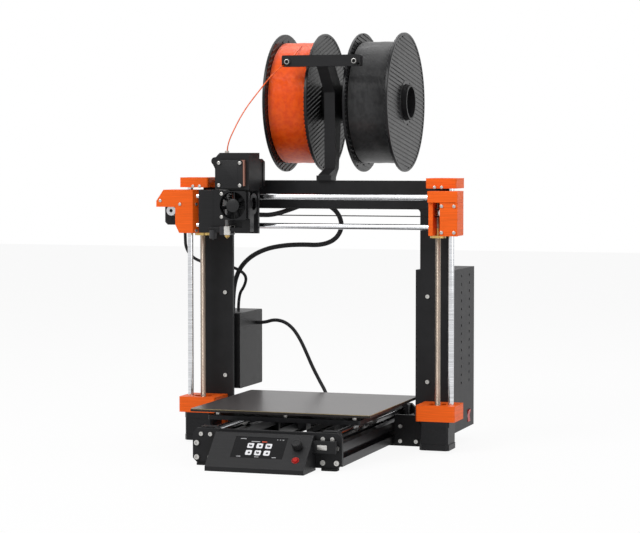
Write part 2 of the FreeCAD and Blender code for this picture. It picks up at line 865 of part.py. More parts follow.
def leadscrew_nuts():
    shapes = []
    for sign in (-1, 1):
        x = sign * z_screw_x
        flange = rod(x, z_axis_y, x_end_bottom - nut_flange_t, nut_flange_r, nut_flange_t)
        body = rod(x, z_axis_y, x_end_bottom, nut_body_r, nut_body_len)
        bore = rod(x, z_axis_y, x_end_bottom - nut_flange_t, rod_d / 2 + 2 * rod_fit,
                   nut_body_len + nut_flange_t)
        shapes.append(flange.fuse(body).cut(bore))
    return group(shapes)


# Print head: everything that rides on the gantry rods


def x_bearing_spots():
    inset = bearing_len / 2 + 2.0
    middle = (carriage_x0 + carriage_x1) / 2
    return [(carriage_x0 + inset, x_rod_low_z), (carriage_x1 - inset, x_rod_low_z),
            (middle, x_rod_high_z)]


def x_carriage():
    block = box(carriage_x0, carriage_x1, carriage_front, carriage_back, carriage_z0, carriage_z1)
    block = rounded(block, 3.0, "y")
    length = carriage_x1 - carriage_x0
    pockets = [rod(carriage_x0, x_rod_y, z, bearing_d / 2 + rod_fit, length, "x")
               for z in (x_rod_low_z, x_rod_high_z)]
    tall = pulley_r + belt_t + running_gap
    deep = belt_w / 2 + 1.0
    slot = box(carriage_x0, carriage_x1, x_belt_y - deep, x_belt_y + deep,
               x_belt_z - tall, x_belt_z + tall)
    return block.cut(group(pockets)).cut(slot)


def x_bearings():
    return group([tube(x - bearing_len / 2, x_rod_y, z, bearing_d / 2, rod_d / 2 + rod_fit,
                       bearing_len, "x") for x, z in x_bearing_spots()])


def extruder_body():
    back = carriage_front
    block = box(extruder_x0, extruder_x1, extruder_y0, back, extruder_z0, extruder_z1)
    top_left = [edge for edge in block.Edges if is_along(edge, (0, 1, 0))
                and edge.Vertexes[0].Z > extruder_z1 - 1.0 and edge.Vertexes[0].X < gear_axis_x]
    block = block.makeChamfer(7.0, top_left)
    back_plate = box(extruder_x0, extruder_x1, back - back_plate_t, back, carriage_z0, extruder_z0)
    shroud_top = box(nozzle_x + heatsink_r + 1.0, extruder_x1, fan_y0 + fan_depth, back,
                     fan_z + fan_side / 2, extruder_z0)
    block = block.fuse([back_plate, shroud_top])
    wheel_y = nozzle_y + drive_gear_t / 2 + 1.0
    pocket = rod(gear_axis_x, extruder_y0, gear_axis_z, drive_gear_r + 0.7,
                 wheel_y - extruder_y0, "y")
    boss = rod(gear_axis_x, back - motor_boss_h - 0.2, gear_axis_z, motor_boss_r + 0.2,
               motor_boss_h + 0.2, "y")
    shaft = rod(gear_axis_x, wheel_y, gear_axis_z, motor_shaft_r + 1.0, back - wheel_y, "y")
    channel = rod(nozzle_x, nozzle_y, extruder_z0, filament_r + 0.4, extruder_z1 - extruder_z0)
    gate = box(extruder_x0, nozzle_x - 0.5, nozzle_y - lever_w / 2 - running_gap,
               nozzle_y + lever_w / 2 + running_gap, lever_pivot_z - 5.0, gear_axis_z + 20.0)
    block = block.cut(group([pocket, boss, shaft, channel, gate]))
    return block.fuse(lever_ears())


def lever_ears():
    ears = []
    half = lever_w / 2 + running_gap
    ear_t = 3.0
    for y0 in (nozzle_y - half - ear_t, nozzle_y + half):
        ears.append(box(lever_pivot_x - 4.0, extruder_x0, y0, y0 + ear_t,
                        lever_pivot_z - 5.0, lever_pivot_z + 5.0))
    ears.append(rod(lever_pivot_x, nozzle_y - half - ear_t, lever_pivot_z, m3_shank / 2,
                    2 * (half + ear_t), "y"))
    return ears


def idler_lever():
    y0 = nozzle_y - lever_w / 2
    outline = [(nozzle_x - 2.2, y0, lever_pivot_z - 3.0), (nozzle_x - 2.2, y0, gear_axis_z + 12.0),
               (lever_pivot_x - 7.0, y0, gear_axis_z + 22.0),
               (lever_pivot_x - 11.0, y0, gear_axis_z + 18.0),
               (lever_pivot_x - 4.5, y0, gear_axis_z + 6.0),
               (lever_pivot_x - 4.5, y0, lever_pivot_z - 3.0)]
    arm = prism(outline, lever_w)
    wheel_x = nozzle_x - filament_r - 0.2 - idler_wheel_r
    wheel = rod(wheel_x, nozzle_y - 2.5, gear_axis_z, idler_wheel_r, 5.0, "y")
    hole = rod(lever_pivot_x, y0, lever_pivot_z, m3_shank / 2 + rod_fit, lever_w, "y")
    return arm.fuse(wheel).cut(hole)


def gear_cover():
    half = gear_cover_side / 2
    y0 = extruder_y0 - gear_cover_t
    cover = box(gear_axis_x - half, gear_axis_x + half, y0, extruder_y0,
                gear_axis_z - half, gear_axis_z + half)
    cover = rounded(cover, 3.0, "y")
    screws = []
    for dx in (-1, 1):
        for dz in (-1, 1):
            x = gear_axis_x + dx * motor_screw_pitch / 2
            z = gear_axis_z + dz * motor_screw_pitch / 2
            cover = cover.cut(screw_hole(x, y0, z, m3_shank + 2 * rod_fit, (0, 1, 0)))
            screws.append(cap_screw(x, y0, z, m3_shank, m3_head_d, m3_head_h, (0, 1, 0),
                                    gear_cover_t))
    return group([cover] + screws)


def extruder_motor():
    shape = motor(0, 0, 0, extruder_motor_len, motor_shaft_len)
    shape = turned(shape, 0, 0, 0, (1, 0, 0), 90)
    shape.translate(FreeCAD.Vector(gear_axis_x, carriage_front, gear_axis_z))
    return shape


def drive_gear():
    y0 = nozzle_y - drive_gear_t / 2
    body = rod(gear_axis_x, y0, gear_axis_z, drive_gear_r, drive_gear_t, "y")
    notch = rod(gear_axis_x, y0, gear_axis_z + drive_gear_r + 0.3, 0.8, drive_gear_t, "y")
    step = 360.0 / drive_gear_teeth
    notches = [turned(notch, gear_axis_x, y0, gear_axis_z, (0, 1, 0), step * (at + 0.5))
               for at in range(drive_gear_teeth)]
    bore = rod(gear_axis_x, y0, gear_axis_z, motor_shaft_r + rod_fit, drive_gear_t, "y")
    return body.cut(group(notches)).cut(bore)


def hotend():
    z1 = extruder_z0
    z0 = z1 - heatsink_len
    sink = rod(nozzle_x, nozzle_y, z0, heatsink_core_r, heatsink_len)
    step = (heatsink_len - fin_t) / (heatsink_fins - 1)
    fins = [rod(nozzle_x, nozzle_y, z0 + at * step, heatsink_r, fin_t) for at in range(heatsink_fins)]
    heater_z = nozzle_z + nozzle_len
    throat = rod(nozzle_x, nozzle_y, heater_z + heater_h, 3.0, z0 - heater_z - heater_h)
    sink = sink.fuse(fins + [throat])
    block = box(nozzle_x - heater_w / 2, nozzle_x + heater_w / 2, nozzle_y - heater_d / 2,
                nozzle_y + heater_d / 2, heater_z, heater_z + heater_h)
    return group([sink, rounded(block, 2.0, "z")])


def nozzle():
    heater_z = nozzle_z + nozzle_len
    cone = Part.makeCone(0.6, nozzle_hex_r - 0.6, nozzle_len / 2,
                         FreeCAD.Vector(nozzle_x, nozzle_y, nozzle_z))
    corners = [(nozzle_x + nozzle_hex_r * math.cos(math.radians(60 * at)),
                nozzle_y + nozzle_hex_r * math.sin(math.radians(60 * at)),
                nozzle_z + nozzle_len / 2) for at in range(6)]
    hexagon = prism(corners, heater_z - nozzle_z - nozzle_len / 2, "xy")
    return cone.fuse(hexagon)


def fan_frame():
    half = fan_side / 2
    frame = box(fan_x - half, fan_x + half, fan_y0, fan_y0 + fan_depth, fan_z - half, fan_z + half)
    frame = rounded(frame, 2.5, "y")
    frame = frame.cut(rod(fan_x, fan_y0, fan_z, fan_bore_r, fan_depth, "y"))
    spider_y = fan_y0 + fan_depth - 2.0
    hub = rod(fan_x, spider_y, fan_z, fan_hub_r, 2.0, "y")
    pin = rod(fan_x, fan_y0 + 2.0, fan_z, 1.0, spider_y - fan_y0 - 2.0, "y")
    spokes = []
    for at in range(3):
        spoke = box(fan_x - 1.0, fan_x + 1.0, spider_y, spider_y + 2.0, fan_z, fan_z + fan_bore_r + 0.5)
        spokes.append(turned(spoke, fan_x, spider_y, fan_z, (0, 1, 0), 120.0 * at + 60.0))
    return frame.fuse([hub, pin] + spokes)


def fan_rotor():
    y0 = fan_y0 + 1.0
    length = fan_depth - 2.0 - 1.0 - running_gap
    tip = fan_bore_r - fan_tip_gap
    hub = rod(fan_x, y0, fan_z, fan_hub_r, length, "y")
    blades = []
    for at in range(fan_blades):
        blade = box(fan_x - 0.6, fan_x + 0.6, y0 + 1.0, y0 + length - 0.6, fan_z + fan_hub_r - 1.0,
                    fan_z + tip + 1.0)
        blade = turned(blade, fan_x, y0 + length / 2, fan_z, (0, 0, 1), 40.0)
        blades.append(turned(blade, fan_x, y0, fan_z, (0, 1, 0), 360.0 * at / fan_blades))
    disc = rod(fan_x, y0, fan_z, tip, length, "y")
    rotor = hub.fuse([blade.common(disc) for blade in blades])
    return rotor.cut(rod(fan_x, y0 + 1.0, fan_z, 1.0 + rod_fit, length, "y"))


def blower_housing():
    # A scroll with its inlet on the right, and the duct that turns its air to the nozzle.
    x1 = extruder_x1 - 1.0
    x0 = x1 - blower_w
    shell = rod(x0, blower_y, blower_z, blower_r, blower_w, "x")
    low = duct_z0 = nozzle_z + 10.0
    neck = box(x0, x1, blower_y - blower_r, blower_y, low, blower_z)
    duct = box(x0 - duct_reach, x0 + blower_wall, blower_y - blower_r, blower_y, low, low + duct_h)
    outer = shell.fuse([neck, duct])
    wall = blower_wall
    inner_r = blower_r - wall
    hollow = rod(x0 + wall, blower_y, blower_z, inner_r, blower_w - 2 * wall, "x")
    hollow_neck = box(x0 + wall, x1 - wall, blower_y - inner_r, blower_y - wall, low + wall, blower_z)
    hollow_duct = box(x0 - duct_reach, x1 - wall, blower_y - inner_r, blower_y - wall,
                      low + wall, low + duct_h - wall)
    inlet = rod(x1 - wall, blower_y, blower_z, blower_inlet_r, wall, "x")
    pin = rod(x0 + wall, blower_y, blower_z, 1.0, blower_w - 3 * wall, "x")
    foot = box(x0 + 3.0, x1 - 3.0, blower_y + blower_r - 2.0, carriage_front - back_plate_t,
               blower_z - 4.0, blower_z + 4.0)
    shape = outer.cut(hollow.fuse([hollow_neck, hollow_duct, inlet])).fuse(pin)
    return shape.fuse(foot.cut(rod(x0, blower_y, blower_z, blower_r - wall / 2, blower_w, "x")))


def blower_rotor():
    x1 = extruder_x1 - 1.0
    x0 = x1 - blower_w + blower_wall + running_gap
    length = blower_w - 2 * blower_wall - 2 * running_gap
    disc = rod(x0, blower_y, blower_z, blower_rotor_r, 1.0, "x")
    hub = rod(x0, blower_y, blower_z, blower_rotor_r / 2.5, length - 1.0, "x")
    vane = box(x0, x0 + length, blower_y - 0.4, blower_y + 0.4,
               blower_z + blower_rotor_r * 0.7, blower_z + blower_rotor_r - 0.1)
    step = 360.0 / blower_vanes
    vanes = [turned(vane, x0, blower_y, blower_z, (1, 0, 0), step * at) for at in range(blower_vanes)]
    return disc.fuse([hub] + vanes).cut(rod(x0, blower_y, blower_z, 1.0 + rod_fit, length, "x"))


# Power supply and electronics behind the legs


def psu_case():
    y1 = frame_t + psu_depth
    z0 = psu_z0 + psu_cover_h
    case = box(psu_x0, psu_x1, frame_t, y1, z0, psu_top)
    wall = psu_wall
    case = case.cut(box(psu_x0 + wall, psu_x1 - wall, frame_t + wall, y1 - wall, z0, psu_top - wall))
    holes = []
    for column in range(2):
        y = frame_t + psu_depth * (0.38 + 0.38 * column)
        for row in range(psu_hole_rows):
            z = psu_top - psu_hole_pitch * (row + 0.9)
            holes.append(rod(psu_x1 - 2 * wall, y, z, psu_hole_r, 4 * wall, "x"))
    case = case.cut(group(holes))
    cover = box(psu_x0, psu_x1, frame_t, y1, psu_z0, z0)
    thick = 2 * psu_wall
    cover = cover.cut(box(psu_x0 + thick, psu_x1 - thick, frame_t + thick, y1 - thick,
                          psu_z0 + thick, z0))
    cover = cover.cut(rocker_hole()).cut(inlet_block())
    return group([case, cover, inlet_insert()])


def rocker_place():
    return (frame_t + psu_depth * 0.75, psu_z0 + psu_cover_h / 2)


def rocker_hole():
    y, z = rocker_place()
    gap = running_gap
    return box(psu_x1 - 3 * psu_wall, psu_x1, y - rocker_w / 2 - gap, y + rocker_w / 2 + gap,
               z - rocker_h / 2 - gap, z + rocker_h / 2 + gap)


def psu_rocker():
    # A rocker whose two faces meet at its pivot line, so that one half always stands proud.
    y, z = rocker_place()
    x1 = psu_x1 + 1.0
    half = rocker_h / 2
    inside = psu_x1 - 2.2 * psu_wall
    y0 = y - rocker_w / 2
    outline = [(inside, y0, z - half + 0.6), (x1, y0, z - half + 0.3), (x1 - 1.2, y0, z),
               (x1 + 0.8, y0, z + half - 0.6), (inside, y0, z + half - 0.6)]
    pivot = rod(psu_x1 - rocker_pivot_in, y0 - running_gap * 0.8, z, rocker_pivot_r,
                rocker_w + running_gap * 1.6, "y")
    return prism(outline, rocker_w).fuse(pivot)


def inlet_block():
    x = (psu_x0 + psu_x1) / 2
    y1 = frame_t + psu_depth
    z = psu_z0 + psu_cover_h / 2
    return box(x - inlet_w / 2, x + inlet_w / 2, y1 - 3 * psu_wall, y1, z - inlet_h / 2,
               z + inlet_h / 2)


def inlet_insert():
    x = (psu_x0 + psu_x1) / 2
    y1 = frame_t + psu_depth
    z = psu_z0 + psu_cover_h / 2
    depth = 18.0
    block = box(x - inlet_w / 2, x + inlet_w / 2, y1 - depth, y1, z - inlet_h / 2, z + inlet_h / 2)
    well = box(x - inlet_w / 2 + 2.0, x + inlet_w / 2 - 2.0, y1 - depth + 2.0, y1,
               z - inlet_h / 2 + 2.0, z + inlet_h / 2 - 2.0)
    pins = [box(x + dx - 1.0, x + dx + 1.0, y1 - depth, y1 - depth / 2, z - 3.0, z + 3.0)
            for dx in (-7.0, 0.0, 7.0)]
    return block.cut(well).fuse(pins)


def electronics_case():
    wall = ebox_wall
    tray = box(ebox_x0, ebox_x1, ebox_y0, ebox_y1, ebox_z0, ebox_z1)
    tray = rounded(tray, 3.0, "x")
    tray = tray.cut(box(ebox_x0, ebox_x1 - wall, ebox_y0 + wall, ebox_y1 - wall,
                        ebox_z0 + wall, ebox_z1 - wall))
    lugs = [box(ebox_x0 + 4.0, ebox_x0 + 24.0, frame_t, ebox_y0, z - 8.0, z + 8.0)
            for z in (93.0, 158.0)]
    posts = [rod(ebox_x1 - wall - 12.0, y, z, 3.0, 12.0, "x") for y, z in board_spots()]
    tray = tray.fuse(lugs + posts)
    lid = box(ebox_x0 - wall, ebox_x0, ebox_y0, ebox_y1, ebox_z0, ebox_z1)
    lid = rounded(lid, 3.0, "x")
    slots = [box(ebox_x0 - wall, ebox_x0, ebox_y0 + 22.0, ebox_y1 - 22.0, z - 1.5, z + 1.5)
             for z in range(100, 160, 8)]
    return group([tray, lid.cut(group(slots)), control_board()])


def board_spots():
    inset = 12.0
    return [(y, z) for y in (ebox_y0 + inset, ebox_y1 - inset)
            for z in (ebox_z0 + inset, ebox_z1 - inset)]


def control_board():
    x1 = ebox_x1 - ebox_wall - 12.0
    edge = 7.0
    board = box(x1 - board_t, x1, ebox_y0 + edge, ebox_y1 - edge, ebox_z0 + edge, ebox_z1 - edge)
    drivers = [box(x1 - board_t - 6.0, x1 - board_t, y, y + 9.0, 110.0, 119.0)
               for y in (30.0, 46.0, 62.0, 78.0)]
    return board.fuse(drivers)


# Display unit


lcd_back_y = front_plate_y
lcd_slope_top_y = lcd_back_y - lcd_top_flat
slope_run = lcd_slope_top_y - lcd_front_y
slope_rise = lcd_back_h - lcd_front_h
slope_angle = math.degrees(math.atan2(slope_rise, slope_run))


def on_slope(shape):
    # From a flat layout, x across, y up the slope and z outwards, to the sloping face.
    copy = turned(shape, 0, 0, 0, (1, 0, 0), slope_angle)
    middle = FreeCAD.Vector(0, (lcd_front_y + lcd_slope_top_y) / 2, (lcd_front_h + lcd_back_h) / 2)
    copy.translate(middle)
    return copy


def lcd_outline(inset):
    # The inner outline keeps the wall's thickness square to the slope.
    lean = math.radians(slope_angle)
    shift = inset / math.sin(lean)
    low = lcd_front_h - inset if inset else lcd_front_h
    front = lcd_front_y + (shift - (inset / math.tan(lean)) if inset else 0.0)
    base = -1.0 if inset else 0.0
    return [(-lcd_half_w + inset, front, base), (-lcd_half_w + inset, front, low),
            (-lcd_half_w + inset, lcd_slope_top_y + (shift - inset / math.tan(lean) if inset else 0.0),
             lcd_back_h - inset),
            (-lcd_half_w + inset, lcd_back_y - inset, lcd_back_h - inset),
            (-lcd_half_w + inset, lcd_back_y - inset, base)]


def lcd_housing():
    outer = prism(lcd_outline(0.0), 2 * lcd_half_w, "yz")
    inner = prism(lcd_outline(lcd_wall), 2 * (lcd_half_w - lcd_wall), "yz")
    window = box(screen_x - screen_w / 2, screen_x + screen_w / 2, screen_up - screen_h / 2,
                 screen_up + screen_h / 2, -3 * lcd_wall, lcd_wall)
    knob_hole = rod(knob_x, knob_up, -3 * lcd_wall, encoder_r + running_gap / 2, 4 * lcd_wall)
    reset_hole = rod(reset_x, reset_up, -3 * lcd_wall, reset_r + running_gap / 2, 4 * lcd_wall)
    cuts = group([on_slope(shape) for shape in (window, knob_hole, reset_hole)])
    return outer.cut(inner).cut(cuts)


def lcd_screen():
    glass = box(screen_x - screen_w / 2, screen_x + screen_w / 2, screen_up - screen_h / 2,
                screen_up + screen_h / 2, -screen_t, -0.4)
    return on_slope(glass)


def encoder_shaft():
    top = knob_lift + knob_h - knob_roof - running_gap
    shaft = rod(knob_x, knob_up, -encoder_inside, encoder_r, encoder_inside + top)
    return on_slope(shaft)


def knob():
    body = rod(knob_x, knob_up, knob_lift, knob_r, knob_h)
    top = [edge for edge in body.Edges if abs(edge.BoundBox.ZMax - knob_lift - knob_h) < 1e-6
           and len(edge.Vertexes) == 1]
    body = body.makeFillet(1.0, top)
    bore = rod(knob_x, knob_up, knob_lift, encoder_r + rod_fit, knob_h - knob_roof)
    return on_slope(body.cut(bore))


def reset_button():
    return on_slope(rod(reset_x, reset_up, -4.0, reset_r, 4.0 + reset_out))


def usb_stick():
    y1 = lcd_back_y - 4.0
    return box(lcd_half_w, lcd_half_w + usb_len, y1 - usb_t, y1, usb_z0, usb_z0 + usb_h)


# Spool holder and spools


def spool_holder():
    half = holder_w / 2
    y_out = (2 * frame_t + 1.0)
    post = [(-half, -frame_t, frame_top), (-half, frame_t, frame_top), (-half, frame_t, 350.0),
            (-half, y_out, 350.0), (-half, 18.0, frame_top - 4.0), (-half, 40.0, 392.0),
            (-half, 48.0, 450.0), (-half, 48.0, 512.0), (-half, 8.0, guide_z + guide_h / 2),
            (-half, guide_y, guide_z + guide_h / 2), (-half, guide_y, guide_z - guide_h / 2),
            (-half, 20.0, 500.0), (-half, 21.0, 460.0), (-half, 22.0, 392.0),
            (-half, -frame_t, 383.0)]
    post = prism(post, holder_w, "yz")
    foot_half = holder_foot_w / 2
    foot = box(-foot_half, foot_half, -frame_t, y_out + 4.0, frame_top, frame_top + 7.0)
    web = box(-half, half, 30.0, spool_axis_y, spool_axis_z - boss_r * 0.9, spool_axis_z + boss_r * 0.8)
    boss = rod(-half, spool_axis_y, spool_axis_z, boss_r, holder_w, "x")
    bar = box(-guide_half, guide_half, guide_y - guide_d / 2, guide_y + guide_d / 2,
              guide_z - guide_h / 2, guide_z + guide_h / 2)
    bar = rounded(bar, 2.0, "y")
    holder = post.fuse([foot, web, boss, bar])
    screws = []
    for sign in (-1, 1):
        spot = (sign * guide_screw_x, guide_y - guide_d / 2, guide_z - 1.0)
        holder = holder.cut(screw_hole(*spot, m5_shank + 2 * rod_fit, (0, 1, 0)))
        screws.append(cap_screw(*spot, m5_shank, m5_head_d, m5_head_h, (0, 1, 0)))
        eye = (sign * filament_eye_x, guide_y - guide_d, filament_eye_z)
        holder = holder.cut(screw_hole(*eye, 2 * filament_eye_r, (0, 1, 0), 2 * guide_d))
    return group([holder] + screws + [spool_arm(1), spool_arm(-1)])


def spool_arm(sign):
    x0 = holder_w / 2
    length = arm_tip - x0
    shape = rod(x0, spool_axis_y, spool_axis_z, arm_r, length, "x")
    shape = shape.cut(rod(x0 + arm_wall, spool_axis_y, spool_axis_z, arm_r - arm_wall, length, "x"))
    return shape if sign > 0 else mirrored(shape)


def spool_flange(x0, outward):
    flange = tube(x0, spool_axis_y, spool_axis_z, spool_r, spool_bore_r, spool_flange_t, "x")
    face_x = x0 + spool_flange_t if outward > 0 else x0 - spool_rib_h
    ring = tube(face_x, spool_axis_y, spool_axis_z, spool_r - 4.0, boss_r + 4.0, spool_rib_h, "x")
    pitch = 2 * spool_r / (spool_ribs + 1)
    ribs = []
    for at in range(spool_ribs):
        z = spool_axis_z - spool_r + pitch * (at + 1)
        rib = box(face_x, face_x + spool_rib_h, spool_axis_y - spool_r, spool_axis_y + spool_r,
                  z - spool_rib_w / 2, z + spool_rib_w / 2)
        rib = turned(rib, face_x, spool_axis_y, spool_axis_z, (1, 0, 0), 38.0 * outward)
        ribs.append(rib.common(ring))
    rim = tube(face_x, spool_axis_y, spool_axis_z, spool_r, spool_r - 4.0, spool_rib_h, "x")
    return flange.fuse(ribs + [rim])


def spool():
    x0 = spool_inner_x + spool_rib_h
    x1 = x0 + spool_width - 2 * spool_rib_h
    barrel = tube(x0, spool_axis_y, spool_axis_z, spool_barrel_r, spool_bore_r, x1 - x0, "x")
    return barrel.fuse([spool_flange(x0, -1), spool_flange(x1 - spool_flange_t, 1)])


def winding():
    x0 = spool_inner_x + spool_rib_h + spool_flange_t + rod_fit
    x1 = spool_inner_x + spool_width - spool_rib_h - spool_flange_t - rod_fit
    return tube(x0, spool_axis_y, spool_axis_z, winding_r, spool_barrel_r + rod_fit, x1 - x0, "x")


# Loose lines: each route is a list chosen by hand from where the line is seen to run


def filament():
    eye_x = -filament_eye_x
    eye_z = filament_eye_z
    route = [(eye_x + 0.5, 61.5, 569.7), (eye_x + 0.3, 33.0, 557.5), (eye_x + 0.1, 10.0, 546.0),
             (eye_x, -5.0, eye_z + 1.3), (eye_x, -22.0, eye_z - 1.1), (-59.5, -28.0, 533.0),
             (-67.5, -31.0, 525.0), (-77.5, -34.5, 512.5), (-88.5, -40.0, 497.0),
             (-99.5, -48.0, 480.0), (-107.5, -56.0, 463.5), (-113.5, -64.0, 447.0),
             (-118.0, -72.0, 432.0), (nozzle_x, nozzle_y, 418.0), (nozzle_x, nozzle_y, 402.0)]
    return cord(route, filament_r, "filament")


def head_cable():
    z1 = ebox_z1
    route = [(-93.0, carriage_back, 326.0), (-93.0, -20.0, 326.0), (-80.0, -1.0, 325.0),
             (-60.0, 17.0, 332.0), (-38.0, 29.0, 341.5), (-14.0, 37.0, 343.0), (5.0, 44.0, 330.0),
             (11.0, 49.0, 308.0), (0.0, 51.0, 289.0), (-22.0, 50.0, 280.5), (-50.0, 47.0, 281.5),
             (-78.0, 44.0, 280.0), (-105.0, 42.0, 274.5), (-130.0, 42.0, 262.0),
             (-148.0, 43.0, 242.0), (-157.0, 46.0, 212.0), (-157.0, 46.0, z1)]
    return cord(route, cable_r, "head_cable")


def x_motor_cable():
    z1 = ebox_z1
    start_z = x_belt_z - motor_half
    route = [(-216.0, 6.0, start_z), (-216.0, 6.0, 294.0), (-216.5, 10.0, 274.0),
             (-206.0, 16.0, 259.5), (-188.0, 23.0, 253.0), (-167.0, 30.0, 250.5),
             (-147.0, 36.0, 246.0), (-134.0, 42.0, 235.0), (-140.0, 51.0, 220.0),
             (-155.0, 64.0, 205.0), (-155.0, 64.0, z1)]
    return cord(route, motor_cable_r, "x_motor_cable")


def bed_cable():
    start_x = ebox_x1
    end_y = bed_rear_y + 12.0
    route = [(start_x, 88.0, 163.0), (-123.0, 88.0, 163.0), (-108.0, 87.0, 168.0),
             (-91.0, 84.5, 166.0), (-76.0, 81.5, 156.5), (-64.0, 78.5, 141.0),
             (-54.0, 77.0, 122.0), (-45.0, 77.0, 102.0), (-34.0, 76.5, 82.0),
             (-22.0, 70.0, 66.0), (-18.0, 62.0, 61.0), (-18.0, end_y, 61.0)]
    return cord(route, bed_cable_r, "bed_cable")


cord_names = ("filament", "head_cable", "x_motor_cable", "bed_cable")


def build_nodes():
    makers = (frame_plate, extrusions, end_plates, rubber_feet, frame_screws, y_rods, y_holders,
              base_motors, y_belt, z_brackets, z_rods, psu_case, electronics_case,
              lcd_housing, lcd_screen, usb_stick, spool_holder, y_carriage, y_bearings, heatbed,
              bed_standoffs, print_sheet, x_end_motor, x_end_idler, x_rods, x_motor, x_belt,
              z_bearings, leadscrew_nuts, x_carriage, x_bearings, extruder_body, gear_cover,
              extruder_motor, hotend, nozzle, fan_frame, blower_housing, x_pulley, x_idler,
              fan_rotor, blower_rotor, drive_gear, idler_lever, encoder_shaft, knob, reset_button,
              psu_rocker, filament, head_cable, x_motor_cable, bed_cable)
    for make in makers:
        nodes[make.__name__] = make()
    y_hub_x = -pulley_w / 2
    nodes["y_pulley"] = pulley(y_hub_x, y_motor_y, y_belt_z, motor_shaft_r + rod_fit)
    nodes["y_idler"] = idler(y_hub_x, y_idler_y, y_belt_z, idler_bore_r)
    nodes["leadscrew_left"] = leadscrew(-1)
    nodes["leadscrew_right"] = leadscrew(1)
    nodes["spool_right"] = spool()
    nodes["spool_left"] = mirrored(nodes["spool_right"])
    nodes["winding_right"] = winding()
    nodes["winding_left"] = mirrored(nodes["winding_right"])


def origin_shift():
    # Bottom centre of everything but the loose lines.
    whole = FreeCAD.BoundBox()
    for name, shape in nodes.items():
        if name not in cord_names:
            whole.add(shape.BoundBox)
    return FreeCAD.Vector(-whole.Center.x, -whole.Center.y, -whole.ZMin)


build_nodes()
shift = origin_shift()
os.makedirs("parts", exist_ok=True)
for node, shape in nodes.items():
    moved = shape.copy()
    moved.translate(shift)
    moved.exportStep("parts/" + node + ".step")
    print(node, "solids", len(moved.Solids), "valid", moved.isValid(), "mm3", round(moved.Volume, 1))
print("nodes", len(nodes), "shift", tuple(round(value, 3) for value in shift))
for name, ratio in radii_shown:
    print("bend of", name, "in diameters", round(ratio, 1))
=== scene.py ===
import bmesh
import bpy
import math
import numpy as np
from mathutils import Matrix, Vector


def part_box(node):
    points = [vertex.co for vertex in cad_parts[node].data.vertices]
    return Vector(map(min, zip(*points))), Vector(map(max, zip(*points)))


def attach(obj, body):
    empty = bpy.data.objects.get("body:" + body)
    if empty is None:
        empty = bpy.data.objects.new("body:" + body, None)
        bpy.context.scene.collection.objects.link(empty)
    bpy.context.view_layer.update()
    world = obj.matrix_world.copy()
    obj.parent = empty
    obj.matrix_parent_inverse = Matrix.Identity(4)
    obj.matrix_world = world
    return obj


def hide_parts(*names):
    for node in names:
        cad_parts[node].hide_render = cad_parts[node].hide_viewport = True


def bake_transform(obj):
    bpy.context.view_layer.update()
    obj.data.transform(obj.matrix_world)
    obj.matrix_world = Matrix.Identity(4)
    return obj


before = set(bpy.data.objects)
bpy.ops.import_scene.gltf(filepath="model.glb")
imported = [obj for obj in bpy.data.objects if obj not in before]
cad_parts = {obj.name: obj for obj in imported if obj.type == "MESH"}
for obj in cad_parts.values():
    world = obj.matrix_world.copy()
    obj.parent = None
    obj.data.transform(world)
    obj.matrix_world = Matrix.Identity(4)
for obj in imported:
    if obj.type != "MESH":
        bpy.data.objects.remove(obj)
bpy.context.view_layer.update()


# Camera: a long lens to the right of the machine, a little above its beam and dipped to its bed.
# Its place was worked out from the upright frame, the bed sheet and the motors. All sizes below are
# in millimetres in the machine's own axes: from the frame's middle, its front face and the table top.

frame_foot = 1.0
plate_low, plate_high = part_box("frame_plate")
machine_zero = np.array([(plate_low[0] + plate_high[0]) / 2, plate_low[1], plate_low[2] - frame_foot / 1000])


def in_frame(places):
    """Places in the machine's own axes and millimetres, as metres in the frame."""
    return machine_zero + np.asarray(places, float) / 1000


photo_width = 640
focal_pixels = 2105.9
turn_degrees = 18.07
dip_degrees = 3.02
lens = bpy.data.cameras.new("camera")
lens.sensor_width = 36.0
lens.lens = focal_pixels / photo_width * lens.sensor_width
lens.clip_end = 30.0
camera = bpy.data.objects.new("camera", lens)
camera.location = in_frame((920.7, -2845.1, 410.4))
camera.rotation_euler = (math.radians(90.0 - dip_degrees), 0.0, math.radians(turn_degrees))
bpy.context.collection.objects.link(camera)
bpy.context.scene.camera = camera


# Cables: a thick woven sleeve from the head, a thinner one from the gantry's motor and one to the bed.
# Each is a smooth spline swept by a round section. The sleeve is braided in black yarn, two ways round,
# and its braid follows the tube by the tube's own UV map.

sleeve_radius = 3.4
bed_lead_radius = 2.6
motor_lead_radius = 2.2
yarn_dark = (0.0045, 0.0045, 0.005)
yarn_light = (0.030, 0.030, 0.033)
yarn_strands = 10.0
yarn_bands_per_mm = 0.45
band_scale = 0.6283
yarn_height = 0.0003
cable_sides = 16
plastic_gloss = 0.20


def finish(name, roughness, metallic=0.0):
    """A new material with its shader, ready for a pattern to be joined to it."""
    material = bpy.data.materials.new(name)
    material.use_nodes = True
    tree = material.node_tree
    surface = tree.nodes["Principled BSDF"]
    surface.inputs["Roughness"].default_value = roughness
    surface.inputs["Metallic"].default_value = metallic
    surface.inputs["Specular IOR Level"].default_value = plastic_gloss
    return material, tree, surface


def knot(tree, kind, links=(), **values):
    """A shader node: links are (socket, source) pairs, and values are its sockets or its settings."""
    made = tree.nodes.new(kind)
    for key, value in values.items():
        if key in made.inputs:
            made.inputs[key].default_value = value
        else:
            setattr(made, key, value)
    for key, source in links:
        tree.links.new(source, made.inputs[key])
    return made


def ramp(tree, source, stops):
    """Colours along a pattern: stops are (place, colour) pairs."""
    made = knot(tree, "ShaderNodeValToRGB", [("Fac", source)])
    elements = made.color_ramp.elements
    while len(elements) < len(stops):
        elements.new(0.5)
    for element, (place, colour) in zip(elements, stops):
        element.position = place
        element.color = (*colour, 1.0)
    return made.outputs["Color"]


